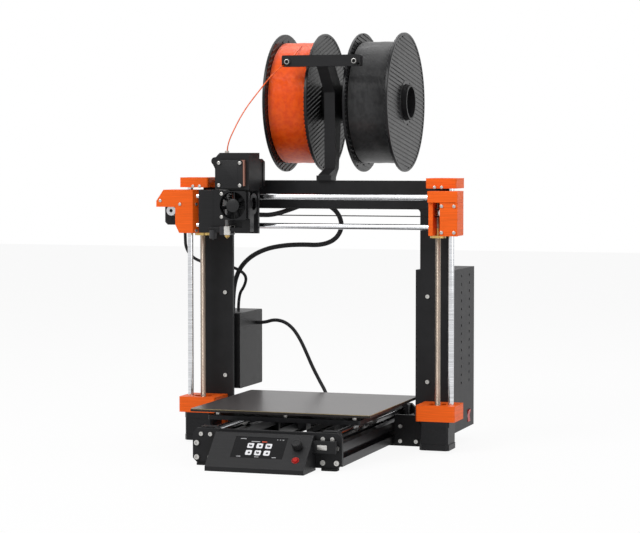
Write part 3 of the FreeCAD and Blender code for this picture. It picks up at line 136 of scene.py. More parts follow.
def tinted(tree, surface, source, stops, socket="Base Color"):
    """Colour a surface by a pattern, through a ramp."""
    tree.links.new(ramp(tree, source, stops), surface.inputs[socket])


def raised(tree, surface, height, depth, strength=1.0):
    """Raise a surface by a pattern; depth is its height in metres."""
    made = knot(tree, "ShaderNodeBump", [("Height", height)], Strength=strength, Distance=depth)
    tree.links.new(made.outputs["Normal"], surface.inputs["Normal"])


def combined(tree, first, second, operation):
    """Two patterns as one: their sum, their product or the higher of them."""
    return knot(tree, "ShaderNodeMath", [(0, first), (1, second)], operation=operation).outputs["Value"]


def braided(name):
    """Braided sleeve: the higher of two sets of slanting bands, one each way round the tube."""
    material, tree, surface = finish(name, 0.5)
    tube_map = knot(tree, "ShaderNodeUVMap", uv_map="round_and_along")
    bands = []
    for lean in (1.0, -1.0):
        slant = knot(tree, "ShaderNodeMapping", [("Vector", tube_map.outputs["UV"])])
        slant.inputs["Scale"].default_value = (yarn_strands * lean, yarn_bands_per_mm, 1.0)
        wave = knot(tree, "ShaderNodeTexWave", [("Vector", slant.outputs["Vector"])],
                    bands_direction="DIAGONAL", Scale=band_scale)
        bands.append(wave.outputs["Fac"])
    both = combined(tree, *bands, "MAXIMUM")
    tinted(tree, surface, both, [(0.35, yarn_dark), (0.95, yarn_light)])
    raised(tree, surface, both, yarn_height, 0.7)
    return material


def grid_faces(rows, columns, closed):
    """Quads between neighbouring rows and columns; when closed, the last column meets the first."""
    index = np.arange(rows * columns).reshape(rows, columns)
    after = np.roll(index, -1, axis=1) if closed else index[:, 1:]
    here = index if closed else index[:, :-1]
    return np.stack([here[:-1], after[:-1], after[1:], here[1:]], axis=-1).reshape(-1, 4).tolist()


def lofted(rings, ends=True):
    """A skin over a stack of rings, each joined to the next; ends fills the first and the last."""
    rings = np.asarray(rings, float)
    rows, columns = rings.shape[:2]
    faces = grid_faces(rows, columns, True)
    if ends:
        index = np.arange(rows * columns).reshape(rows, columns)
        faces += [index[0][::-1].tolist(), index[-1].tolist()]
    return rings.reshape(-1, 3), faces


def swept(line, radius, around=12):
    """A round section carried along a line: each ring is the line's point plus the radius times the
    cosine and sine of the turn, along two directions square to the line."""
    line = np.asarray(line, float)
    ahead = np.gradient(line, axis=0)
    ahead /= np.linalg.norm(ahead, axis=1)[:, None]
    side = np.cross(ahead, (0.31, 0.17, 0.93))
    side /= np.linalg.norm(side, axis=1)[:, None]
    over = np.cross(ahead, side)
    turn = np.linspace(0.0, 2 * np.pi, around, endpoint=False)[None, :, None]
    ring = side[:, None] * np.cos(turn) + over[:, None] * np.sin(turn)
    reach = np.broadcast_to(np.asarray(radius, float), (len(line),))[:, None, None]
    return lofted(line[:, None] + ring * reach)


def mesh_piece(name, shapes, sharp=32.0):
    """One object for a list of (points, faces) shapes, with its faces outwards and smooth up to an
    angle of sharp degrees."""
    points, faces, count = [], [], 0
    for spots, corners in shapes:
        points.append(in_frame(spots))
        faces += [[corner + count for corner in face] for face in corners]
        count += len(spots)
    mesh = bpy.data.meshes.new(name)
    mesh.from_pydata(np.concatenate(points).tolist(), [], faces)
    shape = bmesh.new()
    shape.from_mesh(mesh)
    bmesh.ops.recalc_face_normals(shape, faces=shape.faces)
    shape.to_mesh(mesh)
    shape.free()
    mesh.polygons.foreach_set("use_smooth", np.ones(len(mesh.polygons), bool))
    mesh.set_sharp_from_angle(angle=math.radians(sharp))
    made = bpy.data.objects.new(name, mesh)
    bpy.context.collection.objects.link(made)
    return made


def fitted(name, shapes, material, body, replaced=(), sharp=32.0):
    """A finished piece: its mesh, its material, the body that it rides on and the nodes it stands for."""
    made = mesh_piece(name, shapes, sharp)
    made.data.materials.append(material)
    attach(made, body)
    if replaced:
        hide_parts(*replaced)
    return made


def spline_line(name, route):
    """The smooth line of a route, in millimetres, read from an open NURBS spline through its points."""
    curve = bpy.data.curves.new(name, "CURVE")
    curve.dimensions = "3D"
    spline = curve.splines.new("NURBS")
    spline.points.add(len(route) - 1)
    for point, place in zip(spline.points, route):
        point.co = (*in_frame(place), 1.0)
    spline.order_u = 3
    spline.use_endpoint_u = True
    spline.resolution_u = 8
    holder = bpy.data.objects.new(name, curve)
    mesh = bpy.data.meshes.new_from_object(holder)
    flat = np.empty(len(mesh.vertices) * 3)
    mesh.vertices.foreach_get("co", flat)
    bpy.data.objects.remove(holder)
    bpy.data.meshes.remove(mesh)
    bpy.data.curves.remove(curve)
    return (flat.reshape(-1, 3) - machine_zero) * 1000


def tube_map(made, line, around):
    """A UV map for a swept tube: the turn round it in U, from 0 to 1, and the run along it in V."""
    run = np.r_[0.0, np.cumsum(np.linalg.norm(np.diff(line, axis=0), axis=1))]
    corners = np.empty(len(made.data.loops), np.int32)
    made.data.loops.foreach_get("vertex_index", corners)
    turn = corners % around / around
    starts, totals = np.empty((2, len(made.data.polygons)), np.int32)
    made.data.polygons.foreach_get("loop_start", starts)
    made.data.polygons.foreach_get("loop_total", totals)
    quads = starts[totals == 4][:, None] + np.arange(4)
    turn[quads] += turn[quads].max(axis=1, keepdims=True) - turn[quads] > 0.5
    layer = made.data.uv_layers.new(name="round_and_along")
    layer.data.foreach_set("uv", np.stack([turn, run[corners // around]], axis=-1).ravel())
    return run[-1]


def cable(name, line, radius, material, bodies, replaced):
    """A stretch of a line as a tube: on one body it rides on that body, and between two it stays where it is
    drawn.
    """
    made = mesh_piece(name, [swept(line, radius, cable_sides)], 60.0)
    length = tube_map(made, line, cable_sides)
    made.data.materials.append(material)
    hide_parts(replaced)
    if bodies[0] == bodies[1]:
        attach(made, bodies[0])
    else:
        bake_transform(made)


sleeve = braided("braided_sleeve")
head_line = spline_line("head_cable_line", [
    (-93.0, -34.0, 326.0), (-93.0, -20.0, 326.0), (-80.0, -1.0, 325.0), (-60.0, 17.0, 332.0),
    (-38.0, 29.0, 341.5), (-14.0, 37.0, 343.0), (5.0, 44.0, 330.0), (11.0, 49.0, 308.0),
    (0.0, 51.0, 289.0), (-22.0, 50.0, 280.5), (-50.0, 47.0, 281.5), (-78.0, 44.0, 280.0),
    (-105.0, 42.0, 274.5), (-130.0, 42.0, 262.0), (-148.0, 43.0, 242.0), (-157.0, 46.0, 212.0),
    (-157.0, 46.0, 182.0)])
turnback = int(np.argmax(head_line[:, 0]))
cable("head_cable_upper", head_line[:turnback + 1], sleeve_radius, sleeve, ("head", "gantry"),
      "head_cable")
cable("head_cable_lower", head_line[turnback:], sleeve_radius, sleeve, ("gantry", "frame"),
      "head_cable")
motor_line = spline_line("gantry_lead_line", [
    (-216.0, 6.0, 310.35), (-216.0, 6.0, 294.0), (-216.5, 10.0, 274.0), (-206.0, 16.0, 259.5),
    (-188.0, 23.0, 253.0), (-167.0, 30.0, 250.5), (-147.0, 36.0, 246.0), (-134.0, 42.0, 235.0),
    (-140.0, 51.0, 220.0), (-155.0, 64.0, 205.0), (-155.0, 64.0, 182.0)])
cable("gantry_motor_lead", motor_line, motor_lead_radius, sleeve, ("gantry", "frame"),
      "x_motor_cable")
bed_line = spline_line("bed_lead_line", [
    (-135.0, 88.0, 163.0), (-123.0, 88.0, 163.0), (-108.0, 87.0, 168.0), (-91.0, 84.5, 166.0),
    (-76.0, 81.5, 156.5), (-64.0, 78.5, 141.0), (-54.0, 77.0, 122.0), (-45.0, 77.0, 102.0),
    (-34.0, 76.5, 82.0), (-22.0, 70.0, 66.0), (-18.0, 62.0, 61.0), (-18.0, 53.0, 61.0)])
cable("bed_lead", bed_line, bed_lead_radius, sleeve, ("frame", "bed"), "bed_cable")


# Strand of filament: extruded orange plastic 1.75 mm thick, from the top of its winding through the
# eye of the guide bar and down in a slack bow to the head.

strand_radius = 0.875
strand_orange = (0.92, 0.13, 0.006)
strand_shade = (0.66, 0.07, 0.003)
guide_bar_y = -22.0
bow_middle_z = 480.0


def own_place(tree):
    """Where a point of the surface lies on its own piece, in metres."""
    return knot(tree, "ShaderNodeTexCoord").outputs["Object"]


def noise(tree, place, scale, detail):
    """Even noise over a surface, as a value between nought and one."""
    return knot(tree, "ShaderNodeTexNoise", [("Vector", place)], Scale=scale, Detail=detail).outputs["Fac"]


def extruded_plastic(name, light, dark, roughness):
    """Extruded strand: glossy plastic with slow changes of thickness and shade, no layers."""
    material, tree, surface = finish(name, roughness)
    slow = noise(tree, own_place(tree), 160.0, 3.0)
    tinted(tree, surface, slow, [(0.35, dark), (0.6, light)])
    raised(tree, surface, slow, 0.0002, 0.3)
    surface.inputs["Coat Weight"].default_value = 0.35
    surface.inputs["Coat Roughness"].default_value = 0.12
    return material


orange_strand = extruded_plastic("orange_strand", strand_orange, strand_shade, 0.3)
strand_line = spline_line("strand_line", [
    (-54.8, 61.5, 569.7), (-55.0, 33.0, 557.5), (-55.2, 10.0, 546.0), (-55.3, -5.0, 539.5),
    (-55.3, -22.0, 537.1), (-59.5, -28.0, 533.0), (-67.5, -31.0, 525.0), (-77.5, -34.5, 512.5),
    (-88.5, -40.0, 497.0), (-99.5, -48.0, 480.0), (-107.5, -56.0, 463.5), (-113.5, -64.0, 447.0),
    (-118.0, -72.0, 432.0), (-120.0, -76.0, 418.0), (-120.0, -76.0, 402.0)])
strand_eye = int(np.argmin(abs(strand_line[:, 1] - guide_bar_y)))
strand_bow = int(np.argmin(abs(strand_line[:, 2] - bow_middle_z)))
cable("strand_at_guide", strand_line[:strand_eye + 1], strand_radius, orange_strand,
      ("frame", "frame"), "filament")
cable("strand_upper_bow", strand_line[strand_eye:strand_bow + 1], strand_radius, orange_strand,
      ("frame", "gantry"), "filament")
cable("strand_lower_bow", strand_line[strand_bow:], strand_radius, orange_strand,
      ("gantry", "head"), "filament")


# Studio: a wide pale floor and soft white light from the upper left, as in a catalogue picture.
# The camera and mirror-like metal see white behind the machine; the floor keeps a faint shadow.

bpy.context.scene.view_settings.view_transform = "Standard"
floor_half = 6000.0
floor_grey = 0.86
white_share = 0.92
sky_light = 0.34
lamp_aim = (0.0, 0.0, 250.0)


def seen_directly(tree):
    """One on the rays of the camera, of mirrors and of clear glass, else nought."""
    ray = knot(tree, "ShaderNodeLightPath")
    direct = combined(tree, ray.outputs["Is Camera Ray"], ray.outputs["Is Glossy Ray"], "MAXIMUM")
    return combined(tree, direct, ray.outputs["Is Transmission Ray"], "MAXIMUM")


def pale_floor(name):
    """Pale floor: mostly plain white to the camera and to reflections, and matt grey-white to light."""
    material, tree, surface = finish(name, 0.9)
    surface.inputs["Base Color"].default_value = (floor_grey, floor_grey, floor_grey, 1.0)
    glow = knot(tree, "ShaderNodeEmission", Strength=1.0)
    share = knot(tree, "ShaderNodeMath", [(0, seen_directly(tree))], operation="MULTIPLY")
    share.inputs[1].default_value = white_share
    both = knot(tree, "ShaderNodeMixShader", [(0, share.outputs["Value"]), (1, surface.outputs["BSDF"]),
                                              (2, glow.outputs["Emission"])])
    tree.links.new(both.outputs["Shader"], tree.nodes["Material Output"].inputs["Surface"])
    return material


floor_corners = [(-floor_half, -floor_half, 0.0), (floor_half, -floor_half, 0.0),
                 (floor_half, floor_half, 0.0), (-floor_half, floor_half, 0.0)]
floor = mesh_piece("pale_floor", [(np.array(floor_corners), [[0, 1, 2, 3]])])
floor.data.materials.append(pale_floor("pale_floor"))


def soft_lamp(name, place, side, watts):
    """A square lamp of side metres at a place in millimetres, facing the middle of the machine."""
    data = bpy.data.lights.new(name, "AREA")
    data.size = side
    data.energy = watts
    lamp = bpy.data.objects.new(name, data)
    lamp.location = in_frame(place)
    way = in_frame(lamp_aim) - in_frame(place)
    rise = math.atan2(way[2], math.hypot(way[0], way[1]))
    lamp.rotation_euler = (math.pi / 2 + rise, 0.0, math.atan2(way[1], way[0]) - math.pi / 2)
    bpy.context.collection.objects.link(lamp)


soft_lamp("key_lamp", (-900.0, -1700.0, 1900.0), 1.3, 33.0)
soft_lamp("fill_lamp", (1900.0, -900.0, 900.0), 1.6, 11.0)
soft_lamp("top_lamp", (100.0, 500.0, 2100.0), 1.6, 18.0)
world = bpy.data.worlds.new("studio")
bpy.context.scene.world = world
world.use_nodes = True
sky = world.node_tree
dim = sky.nodes["Background"]
dim.inputs["Strength"].default_value = sky_light
plain = knot(sky, "ShaderNodeBackground", Strength=1.0)
for backdrop in (dim, plain):
    backdrop.inputs["Color"].default_value = (1.0, 1.0, 1.0, 1.0)
sky_mix = knot(sky, "ShaderNodeMixShader", [(0, seen_directly(sky)), (1, dim.outputs["Background"]),
                                            (2, plain.outputs["Background"])])
sky.links.new(sky_mix.outputs["Shader"], sky.nodes["World Output"].inputs["Surface"])


# Upright frame and the plates across the base: laser-cut steel, powder coated in satin black.
# The coat has a fine orange-peel grain and a slightly paler bloom where it lies thin.

coat_black = (0.0115, 0.0115, 0.0125)
smoother_by = 0.06
rougher_by = 0.08


def shaded(colour, share):
    """A colour made darker or paler by a share, and never brighter than white."""
    return tuple(min(1.0, part * share) for part in colour)


def varied_gloss(tree, surface, source, roughness, least):
    """Let a pattern change a surface's roughness a little to either side."""
    made = knot(tree, "ShaderNodeMapRange", [("Value", source)])
    made.inputs["To Min"].default_value = max(least, roughness - smoother_by)
    made.inputs["To Max"].default_value = roughness + rougher_by
    tree.links.new(made.outputs["Result"], surface.inputs["Roughness"])


def coated(name, colour, roughness, grain, depth, mottle=0.35, metallic=0.0):
    """A coat or skin with an even fine grain: noise of the grain size raises it, slower noise changes
    its shade by mottle and its gloss a little. Grain and depth are in millimetres."""
    material, tree, surface = finish(name, roughness, metallic)
    place = own_place(tree)
    fine = noise(tree, place, 1000.0 / grain, 2.0)
    slow = noise(tree, place, 38.0, 4.0)
    blend = combined(tree, fine, slow, "MULTIPLY")
    tinted(tree, surface, blend, [(0.12, shaded(colour, 1 - mottle)), (0.40, shaded(colour, 1 + mottle))])
    varied_gloss(tree, surface, slow, roughness, 0.02)
    raised(tree, surface, fine, depth / 1000, 0.6)
    return material


def dress(material, *names):
    """Give CAD nodes a finish through their material slots."""
    for name in names:
        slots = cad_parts[name].material_slots
        if not slots:
            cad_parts[name].data.materials.append(material)
        for held in slots:
            held.material = material


powder_coat = coated("satin_powder_coat", coat_black, 0.46, 0.45, 0.05)
dress(powder_coat, "frame_plate", "end_plates")


# Extrusions: four lengths of 30 mm aluminium section, anodised black, with their slots along Y.
# The die leaves faint drawn lines along their length.

anodised_black = (0.014, 0.014, 0.016)


def pulled_noise(tree, stretch):
    """Noise drawn out into lines: stretch is how many changes it has a metre along each axis."""
    pulled = knot(tree, "ShaderNodeMapping", [("Vector", own_place(tree))])
    pulled.inputs["Scale"].default_value = stretch
    return noise(tree, pulled.outputs["Vector"], 1.0, 3.0)


def drawn_metal(name, colour, roughness, metallic, stretch):
    """Drawn or turned metal: noise pulled out along one axis, so that its lines run that way."""
    material, tree, surface = finish(name, roughness, metallic)
    lines = pulled_noise(tree, stretch)
    tinted(tree, surface, lines, [(0.3, shaded(colour, 0.78)), (0.7, shaded(colour, 1.12))])
    varied_gloss(tree, surface, lines, roughness, 0.04)
    raised(tree, surface, lines, 0.00002, 0.5)
    return material


dress(drawn_metal("black_anodised", anodised_black, 0.34, 0.55, (1600.0, 12.0, 1600.0)), "extrusions")


# Feet and belts: black rubber, matt, with a little dust in its pores.

rubber_black = (0.011, 0.011, 0.011)
black_rubber = coated("black_rubber", rubber_black, 0.78, 0.9, 0.05)
dress(black_rubber, "rubber_feet")


# Screws: zinc-plated socket heads, turned, a little worn. The heads that show are made here with a
# rounded rim and a hexagon socket, and sit on the plates over the part's own screws.

zinc = (0.56, 0.55, 0.53)


def axes_of(axis):
    """Two directions square to an axis, and the axis, all of length one."""
    along = np.asarray(axis, float) / np.linalg.norm(axis)
    helper = np.array([0.0, 0.0, 1.0]) if abs(along[2]) < 0.9 else np.array([1.0, 0.0, 0.0])
    side = np.cross(helper, along)
    side /= np.linalg.norm(side)
    return side, np.cross(along, side), along


def turned(profile, centre, axis, around=32, ends=True, sides=0):
    """A turned shape: each profile row is (place along the axis, radius), swung round the axis through
    a centre. With sides, the radius is that of a regular polygon's flat."""
    profile = np.asarray(profile, float)
    side, over, along = axes_of(axis)
    turn = np.linspace(0.0, 2 * np.pi, around, endpoint=False)
    ring = side * np.cos(turn)[:, None] + over * np.sin(turn)[:, None]
    if sides:
        step = 2 * np.pi / sides
        ring = ring / np.cos((turn + step / 2) % step - step / 2)[:, None]
    places = profile[:, 0, None, None] * along + profile[:, 1, None, None] * ring[None]
    return lofted(np.asarray(centre, float) + places, ends)


def screw_head(place, out, width, height):
    """A socket head on a seat: a turned cap with a rounded rim, and a hexagon pit in its top."""
    radius = width / 2
    rim = 0.12 * width
    pit = 0.29 * width
    cap = turned([(0.0, radius), (height - rim, radius), (height - rim * 0.3, radius - rim * 0.3),
                  (height, radius - rim), (height, pit * 1.12), (height * 0.45, pit * 1.12)], place, out)
    seat = np.asarray(place, float) + np.asarray(out, float) * height * 0.45
    lining = turned([(0.0, pit), (height * 0.5, pit)], seat, out, 24, False, 6)
    return [cap, lining]


def screw_heads(name, places, out, width, height, body):
    """A set of like screw heads as one piece."""
    shapes = [shape for place in places for shape in screw_head(place, out, width, height)]
    return fitted(name, shapes, zinc_plate, body)


zinc_plate = drawn_metal("zinc_plate", zinc, 0.3, 1.0, (700.0, 700.0, 700.0))
dress(zinc_plate, "frame_screws", "bed_standoffs")


# Bed rods, gantry rods and lift rods: hardened steel, ground and chromed, bright as a mirror with
# the faint rings that centreless grinding leaves. Their bearings are plain steel.

chrome = (0.70, 0.71, 0.73)
across_grain = 900.0
along_grain = 30.0
gantry_rod_left = -196.0
gantry_rod_length = 368.5
gantry_rod_radius = 3.98
gantry_rod_y = -46.0
gantry_rod_levels = (311.5, 352.5)
rod_end_radius = 3.3
rod_end_length = 0.5

chrome_x = drawn_metal("ground_chrome_x", chrome, 0.12, 1.0, (across_grain, along_grain, along_grain))
rod_profile = [(0.0, rod_end_radius), (rod_end_length, gantry_rod_radius),
               (gantry_rod_length - rod_end_length, gantry_rod_radius), (gantry_rod_length, rod_end_radius)]
gantry_rods = [turned(rod_profile, (gantry_rod_left, gantry_rod_y, z), (1, 0, 0), 40)
               for z in gantry_rod_levels]
fitted("gantry_rods", gantry_rods, chrome_x, "gantry", ("x_rods",))
dress(drawn_metal("ground_chrome_y", chrome, 0.12, 1.0, (along_grain, across_grain, along_grain)), "y_rods")
dress(drawn_metal("ground_chrome_z", chrome, 0.12, 1.0, (along_grain, along_grain, across_grain)), "z_rods")
bearing_steel = drawn_metal("bearing_steel", (0.42, 0.41, 0.40), 0.25, 1.0, (500.0, 500.0, 500.0))
dress(bearing_steel, "y_bearings", "x_bearings", "z_bearings", "drive_gear")


# Black printed parts: rod holders, head carriage and body, the electronics case, the display's
# housing and the spool post. Printed in layers 0.2 mm thick, satin, a little paler on the ridges.

layer_mm = 0.2
print_black = (0.0125, 0.0125, 0.0135)


def bands_of(tree, place, direction, pitch):
    """Bands along one axis, pitch millimetres apart."""
    return knot(tree, "ShaderNodeTexWave", [("Vector", place)], bands_direction=direction,
                Scale=math.pi / 10 / (pitch / 1000)).outputs["Fac"]


def printed(name, colour, roughness, layer=layer_mm, mottle=0.14):
    """Printed plastic: a wave of one layer's height along Z raises it; noise drawn out along the
    layers changes its shade."""
    material, tree, surface = finish(name, roughness)
    layers = bands_of(tree, own_place(tree), "Z", layer)
    streak = pulled_noise(tree, (25.0, 25.0, 900.0))
    tinted(tree, surface, streak, [(0.3, shaded(colour, 1 - mottle)), (0.7, shaded(colour, 1 + mottle))])
    raised(tree, surface, combined(tree, layers, streak, "ADD"), 0.00004, 0.35)
    return material


black_print = printed("black_print", print_black, 0.42)
dress(black_print, "y_holders", "x_carriage", "extruder_body", "electronics_case", "idler_lever",
      "lcd_housing", "spool_holder")


# Motors: stepper motors with cast end caps and a stack of steel sheets between them, all black.
# The stack shows as fine lines across the motor's sides.

motor_skin = (0.012, 0.012, 0.013)
lamination_mm = 0.7


def stacked(name, colour, roughness, direction, pitch):
    """A stack of thin sheets: fine bands along one axis over a grainy dark coat."""
    material, tree, surface = finish(name, roughness, 0.2)
    place = own_place(tree)
    sheets = bands_of(tree, place, direction, pitch)
    dust = noise(tree, place, 700.0, 3.0)
    tinted(tree, surface, dust, [(0.3, shaded(colour, 0.7)), (0.7, shaded(colour, 1.5))])
    raised(tree, surface, combined(tree, sheets, dust, "ADD"), 0.00006, 0.4)
    return material


dress(stacked("lift_motor_stack", motor_skin, 0.42, "Z", lamination_mm), "base_motors")
dress(stacked("head_motor_stack", motor_skin, 0.42, "Y", lamination_mm), "x_motor", "extruder_motor")


# Bed: a dark circuit board as the heater on nine standoffs over a cut plate, and on it a spring steel
# sheet with a fine dark coat. The sheet's cut edge shows as a thin tan line.

sheet_dark = (0.055, 0.050, 0.050)
sheet_pale = (0.085, 0.076, 0.076)
sheet_tan = (0.36, 0.29, 0.15)
sheet_top = 68.0
sheet_coat = 0.12


def above(tree, place, axis, level):
    """One where the object coordinate along an axis is above a level in metres, else nought."""
    parts = knot(tree, "ShaderNodeSeparateXYZ", [("Vector", place)])
    made = knot(tree, "ShaderNodeMath", [(0, parts.outputs[axis])], operation="GREATER_THAN")
    made.inputs[1].default_value = level
    return made.outputs["Value"]


def parted(tree, surface, upper, low_colour, high_colour):
    """Colour a surface by one pattern below a level and by another above it."""
    paint = knot(tree, "ShaderNodeMix", [("Factor", upper)], data_type="RGBA")
    tree.links.new(low_colour, paint.inputs[6])
    tree.links.new(high_colour, paint.inputs[7])
    tree.links.new(paint.outputs[2], surface.inputs["Base Color"])


def spring_sheet(name):
    """Coated spring steel: dark speckled coat on top, tan bare edge below it."""
    material, tree, surface = finish(name, 0.30)
    place = own_place(tree)
    grit = noise(tree, place, 1500.0, 2.0)
    slow = noise(tree, place, 9.0, 3.0)
    coat = ramp(tree, combined(tree, grit, slow, "MULTIPLY"), [(0.1, sheet_dark), (0.45, sheet_pale)])
    rim = ramp(tree, slow, [(0.0, shaded(sheet_tan, 0.8)), (1.0, shaded(sheet_tan, 1.2))])
    parted(tree, surface, above(tree, place, "Z", in_frame((0.0, 0.0, sheet_top - sheet_coat))[2]), rim, coat)
    raised(tree, surface, grit, 0.00003, 0.35)
    return material


dress(spring_sheet("spring_sheet"), "print_sheet")
dress(coated("heater_board", (0.020, 0.017, 0.016), 0.4, 1.4, 0.05), "heatbed")
dress(coated("carriage_plate", (0.022, 0.022, 0.024), 0.36, 0.6, 0.03, metallic=0.5), "y_carriage")


# Orange printed parts: the brackets at both ends of the lift rods and both ends of the gantry.
# Printed in layers like the black ones, in a strong satin orange, and held with small zinc screws.

print_orange = (0.91, 0.125, 0.008)
gantry_low = 300.0
gantry_high = 361.5
gantry_rear = -18.5
gantry_face = -55.0
arm_left = -236.0
arm_low = 337.0
arm_slope_right = -225.0
body_left = -207.0
foot_slope_right = -201.0
foot_slope_top = 312.0
nose_crease = -180.0
nose_side = -173.5
nose_slope_back = -45.5
nose_back = -37.0
block_inner = 166.5
block_outer = 207.0
channel_inner = 173.0
channel_outer = 184.0
channel_back = -24.0
cover_outer = 209.0
cover_front = -61.0
brow_low = 345.5
brow_gap = 0.4
lap = 0.5
edge_bevel = 0.6
orange_print = printed("orange_print", print_orange, 0.45)
dress(orange_print, "z_brackets")


def block(low, high):
    """A plain block between its lowest and its highest corner, as two rings of four."""
    (x0, y0, z0), (x1, y1, z1) = low, high
    ring = [(x0, y0), (x1, y0), (x1, y1), (x0, y1)]
    return lofted([[(x, y, z) for x, y in ring] for z in (z0, z1)])


def standing(outline, y0, y1):
    """A slab of depth from y0 to y1, whose outline lies in the x and z directions."""
    return lofted([[(x, y, z) for x, z in outline] for y in (y0, y1)])


def eased(made, width):
    """Round a piece's sharp edges by a small bevel."""
    bevel = made.modifiers.new("eased_edges", "BEVEL")
    bevel.width = width / 1000
    bevel.segments = 2
    bevel.limit_method = "ANGLE"


motor_end = [(arm_left, arm_low), (arm_left, brow_low), (arm_slope_right, gantry_high),
             (nose_crease, gantry_high), (nose_crease, gantry_low), (foot_slope_right, gantry_low),
             (body_left, foot_slope_top), (body_left, arm_low)]
nose = [(nose_crease - lap, gantry_face + lap), (nose_crease, gantry_face), (nose_side, nose_slope_back),
        (nose_side, nose_back), (-block_inner, nose_back), (-block_inner, gantry_rear),
        (nose_crease - lap, gantry_rear)]
motor_end_shapes = [standing(motor_end, gantry_face, gantry_rear),
                    lofted([[(x, y, z) for x, y in nose] for z in (gantry_low, gantry_high)])]
eased(fitted("gantry_motor_end", motor_end_shapes, orange_print, "gantry",
             ("x_end_motor",)), edge_bevel)
idler_end_shapes = [
    block((block_inner, gantry_face, gantry_low), (channel_inner, gantry_rear, brow_low)),
    block((channel_outer, gantry_face, gantry_low), (block_outer, gantry_rear, brow_low)),
    block((channel_inner - 2 * lap, channel_back, gantry_low),
          (channel_outer + 2 * lap, gantry_rear, brow_low)),
    block((block_inner, gantry_face, brow_low), (block_outer, gantry_rear, gantry_high)),
    block((block_inner, cover_front, brow_low + brow_gap), (cover_outer, gantry_face, gantry_high)),
    block((channel_outer, cover_front, gantry_low), (cover_outer, gantry_face - brow_gap / 2, brow_low))]
eased(fitted("gantry_idler_end", idler_end_shapes, orange_print, "gantry",
             ("x_end_idler",)), edge_bevel)
forward = (0, -1, 0)
cover_spots = [(x, cover_front, z) for x in (187.0, 204.5) for z in (305.0, 341.0)]
screw_heads("idler_cover_screws", cover_spots, forward, 4.8, 1.6, "gantry")
arm_spots = [(-229.5, gantry_face, 345.8), (-199.5, gantry_face, 341.0)]
screw_heads("motor_end_screws", arm_spots, forward, 4.6, 1.2, "gantry")
nose_spots = [(-176.75, -50.25, z) for z in (341.0, 303.5)]
screw_heads("nose_screws", nose_spots, (0.826, -0.565, 0.0), 4.6, 1.2, "gantry")
bracket_spots = [(x, -46.0, 366.5) for x in (-183.0, -173.0, 173.0, 183.0)]
screw_heads("top_bracket_screws", bracket_spots, forward, 4.6, 1.2, "frame")


# Leadscrews: turned steel with a four-start trapezoid thread, 2 mm from ridge to ridge, and a film of
# grease that browns it. The thread is cut here as a true helix over the part's rings.

leadscrew_x = 174.0
lift_axis_y = -31.0
leadscrew_low = 45.9
leadscrew_length = 316.0
thread_pitch = 2.0
thread_starts = 4
thread_core = 3.35
thread_height = 0.6
thread_step = 0.4


def helical_screw(x):
    """Leadscrew: over a grid of height and turn, the radius is the core plus a flat-topped ridge
    wherever height over pitch, less starts times the turn, passes a whole number."""
    height = np.arange(0.0, leadscrew_length + thread_step / 2, thread_step)
    turn = np.linspace(0.0, 2 * np.pi, 24, endpoint=False)
    phase = 2 * np.pi * height[:, None] / thread_pitch - thread_starts * turn[None]
    ridge = np.clip(np.cos(phase) * 1.2 + 0.5, 0.0, 1.0)
    ridge[[0, -1]] = 0.0
    radius = thread_core + thread_height * ridge
    places = np.stack([x + radius * np.cos(turn)[None], lift_axis_y + radius * np.sin(turn)[None],
                       np.broadcast_to(leadscrew_low + height[:, None], radius.shape)], axis=-1)
    return lofted(places)


greased_thread = drawn_metal("greased_thread", (0.40, 0.33, 0.27), 0.30, 1.0, (400.0, 400.0, 60.0))
for side, screw_body in ((-1.0, "leadscrew_left"), (1.0, "leadscrew_right")):
    fitted("cut_" + screw_body, [helical_screw(side * leadscrew_x)], greased_thread, screw_body,
           (screw_body,), 50.0)
brass = drawn_metal("nut_brass", (0.62, 0.43, 0.15), 0.3, 1.0, (500.0, 500.0, 500.0))
dress(brass, "leadscrew_nuts", "nozzle")


# Belts: black rubber loops with a tooth every 2 mm on the inside, over the pulleys and idlers.

belt_width = 6.0
belt_thick = 1.4
belt_radius = 5.1
tooth_pitch = 2.0
tooth_depth = 0.55
belt_step = 0.4
gantry_wheels = ((-216.0, -44.0, 331.5), (186.0, -44.0, 331.5))
slide_wheels = ((0.0, -226.0, 26.0), (0.0, 76.0, 26.0))


def toothed_belt(start, end, across):
    """A belt round two equal wheels: the loop's line is two straight runs and two half turns, and the
    section is a strip whose inner side dips by the tooth's depth as a clipped cosine of the run."""
    start, end = np.asarray(start, float), np.asarray(end, float)
    span = np.linalg.norm(end - start)
    way = (end - start) / span
    up = np.array([0.0, 0.0, 1.0])
    half_turn = np.pi * belt_radius
    run = np.arange(0.0, 2 * (span + half_turn), belt_step)
    there = np.clip(run, 0.0, span)
    back = np.clip(run - span - half_turn, 0.0, span)
    turned_by = np.clip(run - span, 0.0, half_turn) + np.clip(run - 2 * span - half_turn, 0.0, half_turn)
    turn = turned_by[:, None] / belt_radius
    centre = start + (there - back)[:, None] * way
    out = np.cos(turn) * up + np.sin(turn) * way
    tooth = tooth_depth * np.clip(np.cos(2 * np.pi * run / tooth_pitch) * 1.6 + 0.3, 0.0, 1.0)
    outer = belt_radius + belt_thick / 2
    inner = belt_radius - belt_thick / 2 + tooth_depth - tooth[:, None]
    side = np.asarray(across, float) * belt_width / 2
    rings = np.stack([centre + out * outer - side, centre + out * outer + side,
                      centre + out * inner + side, centre + out * inner - side], axis=1)
    return lofted(np.concatenate([rings, rings[:1]]), ends=False)


